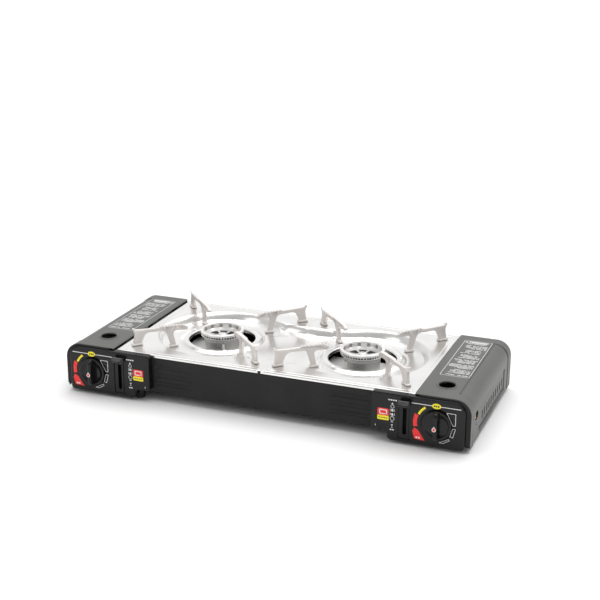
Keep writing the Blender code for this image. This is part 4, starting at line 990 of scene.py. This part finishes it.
def lids():
    """The right lid is carved once, and the left lid is its mirror image."""
    # The skin's second value darkens the pressed lines' paint: painted shade, kept as the lid's shade
    # attribute.
    skin, crease_shade = lid_skin()
    rim = run(about(HOLE_RADIUS, LID_TOP - SHEET * 0.6, (-1.0, 0), (4.2, 0)),
              about(HOLE_RADIUS, LID_TOP, (4.2, 0.1), (3.6, 0.3)),
              arc((HOLE_RADIUS + 0.0018, LID_TOP), 0.0013, 20, 160, 8),
              (HOLE_RADIUS - 0.001, LID_TOP + 0.0002))
    rim = turned(rim, 96, "Z", (HOLE_X, HOLE_Y, 0))
    mesh = carved(Shape().sheet(skin, SHEET, crease_shade).mesh("lid"), [rim], "UNION")
    mesh = carved(mesh, lid_cuts())
    bore, barrel, length = 0.0015, 0.0028, 0.020
    for k in range(3):
        start = (k - 1) * (WALL_Y - length) * 0.85
        tube = turned([(bore, start), (barrel, start), (barrel, start + length), (bore, start + length)],
                      32, "Y", (HINGE_X, 0, HINGE_Z))
        mesh = carved(mesh, [tube], "UNION")
    for name, side in SIDES:
        placed = mesh.copy()
        if side < 0:
            points = np.empty(len(placed.vertices) * 3, np.float32)
            placed.vertices.foreach_get("co", points)
            points[::3] *= -1
            placed.vertices.foreach_set("co", points)
            placed.flip_normals()
        piece(f"lid_pressed_{name}", placed, f"lid_{name}_body", "lid_paint", (f"lid_{name}",),
              crease=40)


# ---------------------------------------------------------------- control panels

def panel_outline():
    """Face of a panel, anticlockwise: deep below the knob and lever, with an S-shaped step to the shallower
    part towards the middle."""
    low, step, top = PANEL_BOTTOM, 0.0200, PANEL_TOP
    curve, step_x = (step - low) / 2, BAY_EDGE_X - 0.010
    return run(arc((PANEL_OUTER_X - 0.006, low + 0.006), 0.006, -90, 0, 8),
               arc((PANEL_OUTER_X - 0.018, top - 0.018), 0.018, 0, 90, 20),
               arc((PANEL_INNER_X + 0.005, top - 0.005), 0.005, 90, 180, 8),
               arc((PANEL_INNER_X + 0.005, step + 0.005), 0.005, 180, 270, 8),
               arc((step_x - curve, step - curve), curve, 90, 0, 10),
               arc((step_x + curve, low + curve), curve, 180, 270, 10)[1:])


def mirrored(outline, side):
    """An outline drawn for the right end, for the given end, kept anticlockwise."""
    return outline if side > 0 else (outline * (-1, 1))[::-1]


def control_panel(name, side):
    """Moulded shell with a rounded rim, a sunk ring for the knob, and a framed slot for the lever."""
    face = mirrored(panel_outline(), side)
    back, front = -WALL_Y - GAP, PANEL_FRONT_Y
    edge, wall = 0.0024, 0.0020
    turns = np.radians(np.linspace(0, 90, 6))
    rings = [(front + wall, inset(face, edge + 0.0008)), (front + 0.0040, inset(face, wall)),
             (back, inset(face, wall)), (back, face)]
    rings += [(front + edge * (1 - sin(t)), inset(face, edge * (1 - cos(t)))) for t in turns]
    shell = loft("Y", rings)
    knob = (side * KNOB_X, 0, KNOB_Z)
    hole = KNOB_RADIUS + 0.0014
    sunk = run((0, front - 0.003), (hole + 0.0030, front - 0.003),
               arc((hole + 0.0012, front + 0.0012), 0.0012, -80, -180, 5), (hole, front + 0.0010),
               about(0, front, (8.5, 1.0), (8.5, 10.0), (0, 10.0)))
    sunk = turned(sunk, 96, "Y", knob)
    half = 0.0030
    slot_low, slot_high = LEVER_Z - 0.0248, LEVER_Z + 0.0269
    x = side * LEVER_X
    channel = slab("Y", block(x, 0.0400, 0.0205, 0.0600, 0.0016), front - 0.01, front + 0.0013)
    rail = slab("Y", block(x, 0.0400, 0.0126, 0.0560, 0.0012), front + 0.0002, front + 0.0019, 0.0004, 2)
    slot = run(arc((x, slot_low + half), half, 180, 360, 8), arc((x, slot_high - half), half, 0, 180, 8))
    slot = slab("Y", slot, front - 0.01, front + 0.01)
    floor = TRAY_TOP - TRAY_SKIRT - CLEARANCE
    notches = ((PANEL_INNER_X - 0.001, TRAY_HALF_X + 0.0014, -TRAY_HALF_Y - CLEARANCE, floor),
               (TRAY_HALF_X + GAP, HINGE_X + 0.003, LID_FRONT_Y - CLEARANCE, HINGE_Z - 0.0070))
    mesh = carved(shell.mesh("shell"), [channel])
    mesh = carved(mesh, [rail], "UNION")
    mesh = carved(mesh, [sunk, slot])
    for inner, outer, start, low in notches:
        xs = sorted((side * inner, side * outer))
        mesh = carved(mesh, [box((xs[0], start, low), (xs[1], back + 0.01, PANEL_TOP + 0.01))])
    piece(f"control_panel_moulded_{name}", mesh, "stove_body", "gloss_black", (f"control_panel_{name}",),
          crease=34)


def prints(name, side):
    """Ink on a panel: dial marks round the knob, which are the same way round at both ends, a chain of
    small marks beside the lever, and a two-colour patch. Each mark is a thin slab on the face."""
    front = PANEL_FRONT_Y
    ink = {"white": [], "red": [], "yellow": [], "dark": []}

    def mark(colour, outline, height=INK):
        ink[colour].append(slab("Y", np.array(outline, float), front - height, front + 0.0001))

    def dial(points):
        """Points given in millimetres from the knob's middle."""
        return np.array(points, float) / 1000 + (side * KNOB_X, KNOB_Z)

    def band(colour, inner, outer, start, end):
        """A stretch of a ring round the knob, radii in millimetres and angles in degrees."""
        steps = max(4, int(abs(end - start) / 3))
        outline = run(arc((0, 0), outer, start, end, steps), arc((0, 0), inner, end, start, steps))
        mark(colour, dial(outline))

    def bar(colour, x, z, width, height, rise=INK):
        mark(colour, block(x, z, width, height, min(width, height) * 0.16, 2), rise)

    def ring(colour, outline, stroke, height=INK):
        """The line round an outline, as a slab with a hollow: four sides of one width, joined in a loop."""
        outline = np.array(outline, float)
        inner = inset(outline, stroke)
        low, high = front + 0.0001, front - height
        loops = ((outline, low), (outline, high), (inner, high), (inner, low))
        levels = [laid("Y", points, y) for points, y in loops]
        ink[colour].append(Shape().net(np.stack(levels), around=True, along=True))

    low, high = (-39, 35) if side > 0 else (-36, 36)
    mark("white", dial([(low, 28.5), (high, 28.5), (high, 29.6), (low, 29.6)]))
    oval = np.array([(6.8 * cos(t) - 1.5, 4.2 * sin(t) + 29.1) for t in np.linspace(0, 2 * pi, 33)[:-1]])
    mark("yellow", dial(oval), 0.00014)
    for k in range(3):
        bar("dark", side * KNOB_X - 0.0015 + (k - 1) * 0.0031, KNOB_Z + 0.0291, 0.0022, 0.0026, 0.00020)
    band("yellow", 29.0, 32.2, 155, 126)
    band("red", 30.0, 36.0, 192, 158)
    mark("red", dial([(-34, -9.3), (-28.1, -12.1), (-17.4, -27.9), (-33.4, -26.8), (-36.7, -15.1)][::-1]))
    for k in range(2):
        bar("white", side * KNOB_X - 0.0300 + k * 0.0038, KNOB_Z - 0.0243, 0.0028, 0.0024, 0.00014)
    ring("white", dial([(13.6, 21.3), (23.6, 1.9), (27.9, 2.6), (27.7, 21.3)]), 0.0008)
    ring("white", dial([(23.4, -1.9), (19.4, -15.5), (24.5, -16.9), (28.1, -2.7)]), 0.0007)
    ring("white", dial([(18.2, -19.5), (3.5, -27.3), (10, -27.8), (19.7, -22.3)]), 0.0006)

    chain_x, patch_x, dash_x = 0.2172, 0.2032, 0.1915
    x = side * chain_x
    for k in range(4):
        bar("white", x - 0.0052 + k * 0.0035, 0.0693, 0.0026, 0.0019)
    for k in range(2):
        bar("white", x - 0.0018 + k * 0.0036, 0.0223, 0.0028, 0.0018)
    for z, tip in ((0.0636, 0.0018), (0.0296, -0.0018)):
        corners = [(x - 0.0017, z - tip / 2), (x + 0.0017, z - tip / 2), (x, z + tip)]
        mark("white", corners if tip > 0 else corners[::-1])
    for z, size in ((0.0590, 0.0028), (0.0400, 0.0034)):
        ring("white", arc((x, z), size, 0, 345, 23), 0.0006)
    for z in (0.0530, 0.0465):
        bar("white", x, z, 0.0030, 0.0036)
        for way in (-1, 1):
            bar("white", x + way * 0.0031, z, 0.0006, 0.0042)
    bar("white", x, 0.0347, 0.0036, 0.0010)
    bar("white", x, 0.0262, 0.0016, 0.0016)

    x = side * patch_x
    bar("red", x, 0.0487, 0.0176, 0.0116)
    bar("yellow", x, 0.0395, 0.0176, 0.0070)
    ring("white", block(x, 0.0488, 0.0122, 0.0078, 0.0016), 0.0015, 0.00016)
    bar("white", x + 0.0052, 0.0455, 0.0030, 0.0012, 0.00016)
    for k in range(4):
        bar("dark", x - 0.0055 + k * 0.0037, 0.0394, 0.0027, 0.0014, 0.00016)
    bar("white", side * dash_x, 0.0262, 0.0008, 0.0030)
    for colour, shapes in ink.items():
        piece(f"print_{colour}_{name}", joined(*shapes), "stove_body", colour + "_ink", crease=60)


def panel_frame(name, side):
    """Black rim that follows the lid's shoulder in front of its edge, with a ledge under it."""
    face = panel_outline()
    keep = (face[:, 0] > PANEL_OUTER_X - 0.0185) & (face[:, 1] > 0.0150)
    start, foot = LID_INNER_X + 0.0065, PANEL_BOTTOM + 0.008
    corner = run((PANEL_OUTER_X + GAP, foot), inset(face, -GAP)[keep])

    def lid_line(offset):
        """The lid's shoulder, moved inwards."""
        centre = (HALF_LENGTH - LID_SHOULDER, LID_TOP - LID_SHOULDER)
        return arc(centre, LID_SHOULDER - offset, 90, 0, 24)

    front, under = LID_FRONT_Y - GAP, SHEET + CLEARANCE
    inner = run(corner, (start, PANEL_TOP + GAP))
    outer = run((start, LID_TOP), lid_line(0), (HALF_LENGTH, foot))
    ledge = run((start, LID_TOP - under), lid_line(under), (HALF_LENGTH - under, foot))
    flange = slab("Y", mirrored(run(inner, outer), side), front - 0.0027, front)
    shelf = slab("Y", mirrored(run(inner, ledge), side), front - 0.0010, -WALL_Y - GAP)
    mesh = carved(flange.mesh("flange"), [shelf], "UNION")
    piece(f"panel_frame_moulded_{name}", mesh, "stove_body", "black_paint", (f"panel_frame_{name}",),
          crease=34, bevel=0.0005)


# ---------------------------------------------------------------- knobs and levers

def knob(name, side):
    """Dished disc with a raised rim and fine ribs round its edge, and a rounded grip bar across it."""
    body = f"knob_{name}_body"
    place = (side * KNOB_X, 0, KNOB_Z)
    back, face, r = PANEL_FRONT_Y - 0.0006, PANEL_FRONT_Y - 0.0048, KNOB_RADIUS
    bore, boss = 0.0038, 0.0068
    profile = run((bore, PANEL_FRONT_Y + 0.006), (boss, PANEL_FRONT_Y + 0.006), (boss, back),
                  (r - 0.0004, back), (r, back - 0.0004), (r, face + 0.0012),
                  arc((r - 0.0012, face + 0.0012), 0.0012, 0, -90, 6),
                  about(r, face, (-2.6, 0), (-3.6, 0.4), (-4.6, 1.2), (-10.0, 1.6)),
                  (bore + 0.0002, face + 0.0016), (bore, face + 0.0016))
    turn = np.linspace(0, 2 * pi, 144, endpoint=False)[None]
    radius = profile[:, :1] + 0.00022 * np.cos(turn * 48) * (profile[:, :1] > r - 0.0002)
    level = profile[:, 1:] + 0 * turn
    points = np.stack([radius * np.cos(turn), level, radius * np.sin(turn)], axis=2) + place
    disc = Shape().net(points, around=True, along=True)
    sunk, height = 0.0020, 0.0088
    length, half, tall = r - 0.0006, 0.0050, height + sunk
    rows, columns = 49, 25
    along = np.sin(np.linspace(-pi / 2, pi / 2, rows))[:, None]
    over = np.linspace(0, pi, columns)[None]
    ends = np.maximum(1 - np.abs(along) ** 7, 0) ** (1 / 3.2)
    waist = half * (0.84 + 0.16 * along ** 2)
    cross = np.sign(np.cos(over)) * np.abs(np.cos(over)) ** 0.42
    rise = np.abs(np.sin(over)) ** 0.36
    top_width = 1 - 0.20 * rise
    gx = waist * cross * top_width * np.maximum(ends, 0.02)
    gy = face + sunk - tall * rise * ends * (1 - 0.07 * along ** 2)
    gz = length * along + 0 * over
    upper = np.stack([gx, gy + 0 * gx, gz + 0 * gx], axis=2) + place
    grip = Shape().net(upper).net(np.stack([upper[:, 0], upper[:, -1]], axis=1))
    piece(f"knob_moulded_{name}", joined(disc, grip), body, "gloss_black", (f"knob_{name}",),
          crease=45)

    tip = face - height
    middle = (place[0] - 0.0010, KNOB_Z - 0.0026)
    drops = (("mark", 0.0031, 0.0001, "white_ink"), ("mark_core", 0.0020, 0.0002, "red_ink"))
    for part, size, raised, look in drops:
        drop = run(arc(middle, size, 150, 390, 20), (middle[0], middle[1] + size * 1.7))
        piece(f"knob_{part}_{name}", slab("Y", drop, tip - raised, tip + 0.0008), body, look, crease=60)


def lever_cap(name, side):
    """Grey cap on the lever's tab: a rounded block with ribs across it, along the tab's own slope."""
    slope = radians(38)
    level, up = cos(slope), sin(slope)

    def at(distance, across):
        """A point along the lever and across it, upwards, seen from the end."""
        return (LEVER_Y - distance * level + across * up, LEVER_Z + distance * up + across * level)

    x, half = side * LEVER_X, 0.0078
    start, end, wide = 0.0374, 0.0474, 0.0043
    outline = run(at(start, -wide), at(start, wide), at(end - 0.0012, wide), at(end, wide - 0.0013),
                  at(end, -wide))
    cap = slab("X", rounded(outline[::-1], 2), x - half, x + half, 0.0008, 3)
    ribs = [pebble((x, *at(end + 0.0001, -0.0026 + 0.0024 * k)), (0.0062, 0.0007, 0.0006), 0.5, 9, 20)
            for k in range(3)]
    piece(f"lever_cap_{name}", joined(cap, *ribs), f"lever_{name}_body", "lever_grey", crease=45)
    softened(f"lever_{name}", f"lever_{name}_body", "black_paint", 0.0003)


# ---------------------------------------------------------------- inside

def mixing_tube(name):
    """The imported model's bent tube, its rings shaded as one smooth run."""
    softened(f"mixing_tube_{name}", "stove_body", "dull_steel", 0.0, 60)


def regulator_screw(name, side):
    """Brass adjusting screw behind the lid's side port: a plain shank with a knurled, dished cap."""
    low, high = screw_low.x, screw_high.x
    y, z = (screw_low.y + screw_high.y) / 2 - MID_Y, (screw_low.z + screw_high.z) / 2
    r = (screw_high.y - screw_low.y) / 2
    profile = run((0, low), (0.0052, low), (0.0052, low + 0.0098), (r - 0.0004, low + 0.0104),
                  (r, low + 0.0108), (r, high - 0.0012),
                  arc((r - 0.0010, high - 0.0010), 0.0010, 10, 90, 4),
                  about(0, high, (3.0, 0), (2.6, -1.0), (0, -1.2)))
    turn = np.linspace(0, 2 * pi, 120, endpoint=False)[None]
    radius = profile[:, :1] + 0.00025 * np.cos(turn * 30) * (profile[:, :1] > r - 0.00001)
    level = profile[:, 1:] + 0 * turn
    points = np.stack([level, radius * np.cos(turn) + y, radius * np.sin(turn) + z], axis=2)
    shape = Shape().net(points, around=True).moved(side=side)
    node = f"regulator_screw_{name}"
    piece(f"regulator_screw_turned_{name}", shape, "stove_body", "brass", (node,))


def inner_pieces(name):
    """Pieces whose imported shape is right: rounded a little and given their finish."""
    for node, look, bevel in (("burner_bridge", "bright_zinc", 0.0004),
                              ("partition", "galvanised", 0.0003),
                              ("lever_bracket", "galvanised", 0.0003),
                              ("igniter", "gloss_black", 0.0),
                              ("gas_valve", "zinc_casting", 0.0006),
                              ("cartridge_rest", "plain_aluminium", 0.0003),
                              ("gas_inlet", "brass", 0.0003)):
        softened(f"{node}_{name}", "stove_body", look, bevel)
    softened(f"cartridge_pusher_{name}", f"pusher_{name}_body", "dull_steel", 0.0003)
    for node, look, body in (("hinge_pin", "dull_steel", "stove_body"),
                             ("lever_pin", "dull_steel", "stove_body"),
                             ("knob_spindle", "brass", f"knob_{name}_body")):
        softened(f"{node}_{name}", body, look, 0.0002)


# ---------------------------------------------------------------- studio

def studio():
    """Pale floor and surround, a soft overhead sun, a large light at the front left, and the camera."""
    reach = 40.0
    floor = scratch(box((-reach, -reach, -0.02), (reach, reach, 0.0)).mesh("floor"))
    floor.name = "floor"
    pale = Finish("pale floor", Base_Color=(0.92, 0.92, 0.92), Roughness=0.8, Specular_IOR_Level=0.05)
    floor.data.materials.append(pale.material)
    world = bpy.data.worlds.new("surround")
    world.use_nodes = True
    nodes, links = world.node_tree.nodes, world.node_tree.links
    direction = nodes.new("ShaderNodeTexCoord")
    split = nodes.new("ShaderNodeSeparateXYZ")
    fade = nodes.new("ShaderNodeMapRange")
    links.new(direction.outputs["Generated"], split.inputs[0])
    links.new(split.outputs["Y"], fade.inputs["Value"])
    for socket, value in zip(fade.inputs[1:5], (-0.5, 0.85, 0.50, 1.0)):
        socket.default_value = value
    links.new(fade.outputs["Result"], nodes["Background"].inputs["Strength"])
    nodes["Background"].inputs["Color"].default_value = (1.0, 1.0, 1.0, 1.0)
    bpy.context.scene.world = world
    sun = bpy.data.lights.new("overhead", "SUN")
    sun.energy, sun.angle = 1.9, radians(75)
    corner = bpy.data.lights.new("front left", "AREA")
    corner.energy, corner.size = 9.0, 1.2
    for light, place, aim in ((sun, (0.3, 0.6, 2.6), (0, 0, 0)), (corner, (-2.0, -2.0, 1.8), (0, 0, 0.05))):
        lamp = bpy.data.objects.new(light.name, light)
        lamp.location = place
        lamp.rotation_euler = (Vector(aim) - Vector(place)).to_track_quat("-Z", "Y").to_euler()
        bpy.context.scene.collection.objects.link(lamp)
    camera = bpy.data.cameras.new("camera")
    camera.sensor_width, camera.lens = 36.0, 74.13
    eye = bpy.data.objects.new("camera", camera)
    pitch, yaw, roll = 0.321314, 0.368701, 0.0042155
    turns = [Euler(angles).to_matrix() for angles in ((0, 0, yaw), (pi / 2 - pitch, 0, 0), (0, 0, roll))]
    eye.rotation_euler = (turns[0] @ turns[1] @ turns[2]).to_euler()
    eye.location = (0.6916, MID_Y - 1.7499, 0.7783)
    bpy.context.scene.collection.objects.link(eye)
    bpy.context.scene.camera = eye
    bpy.context.scene.view_settings.view_transform = "Standard"


def build():
    hob_tray()
    pan_arms()
    base_pan()
    feet()
    tray_stud()
    lids()
    for name, side in SIDES:
        burner_head(name, side)
        burner_drum(name, side)
        electrode(name)
        control_panel(name, side)
        prints(name, side)
        panel_frame(name, side)
        knob(name, side)
        lever_cap(name, side)
        mixing_tube(name)
        regulator_screw(name, side)
        inner_pieces(name)


studio()
build()
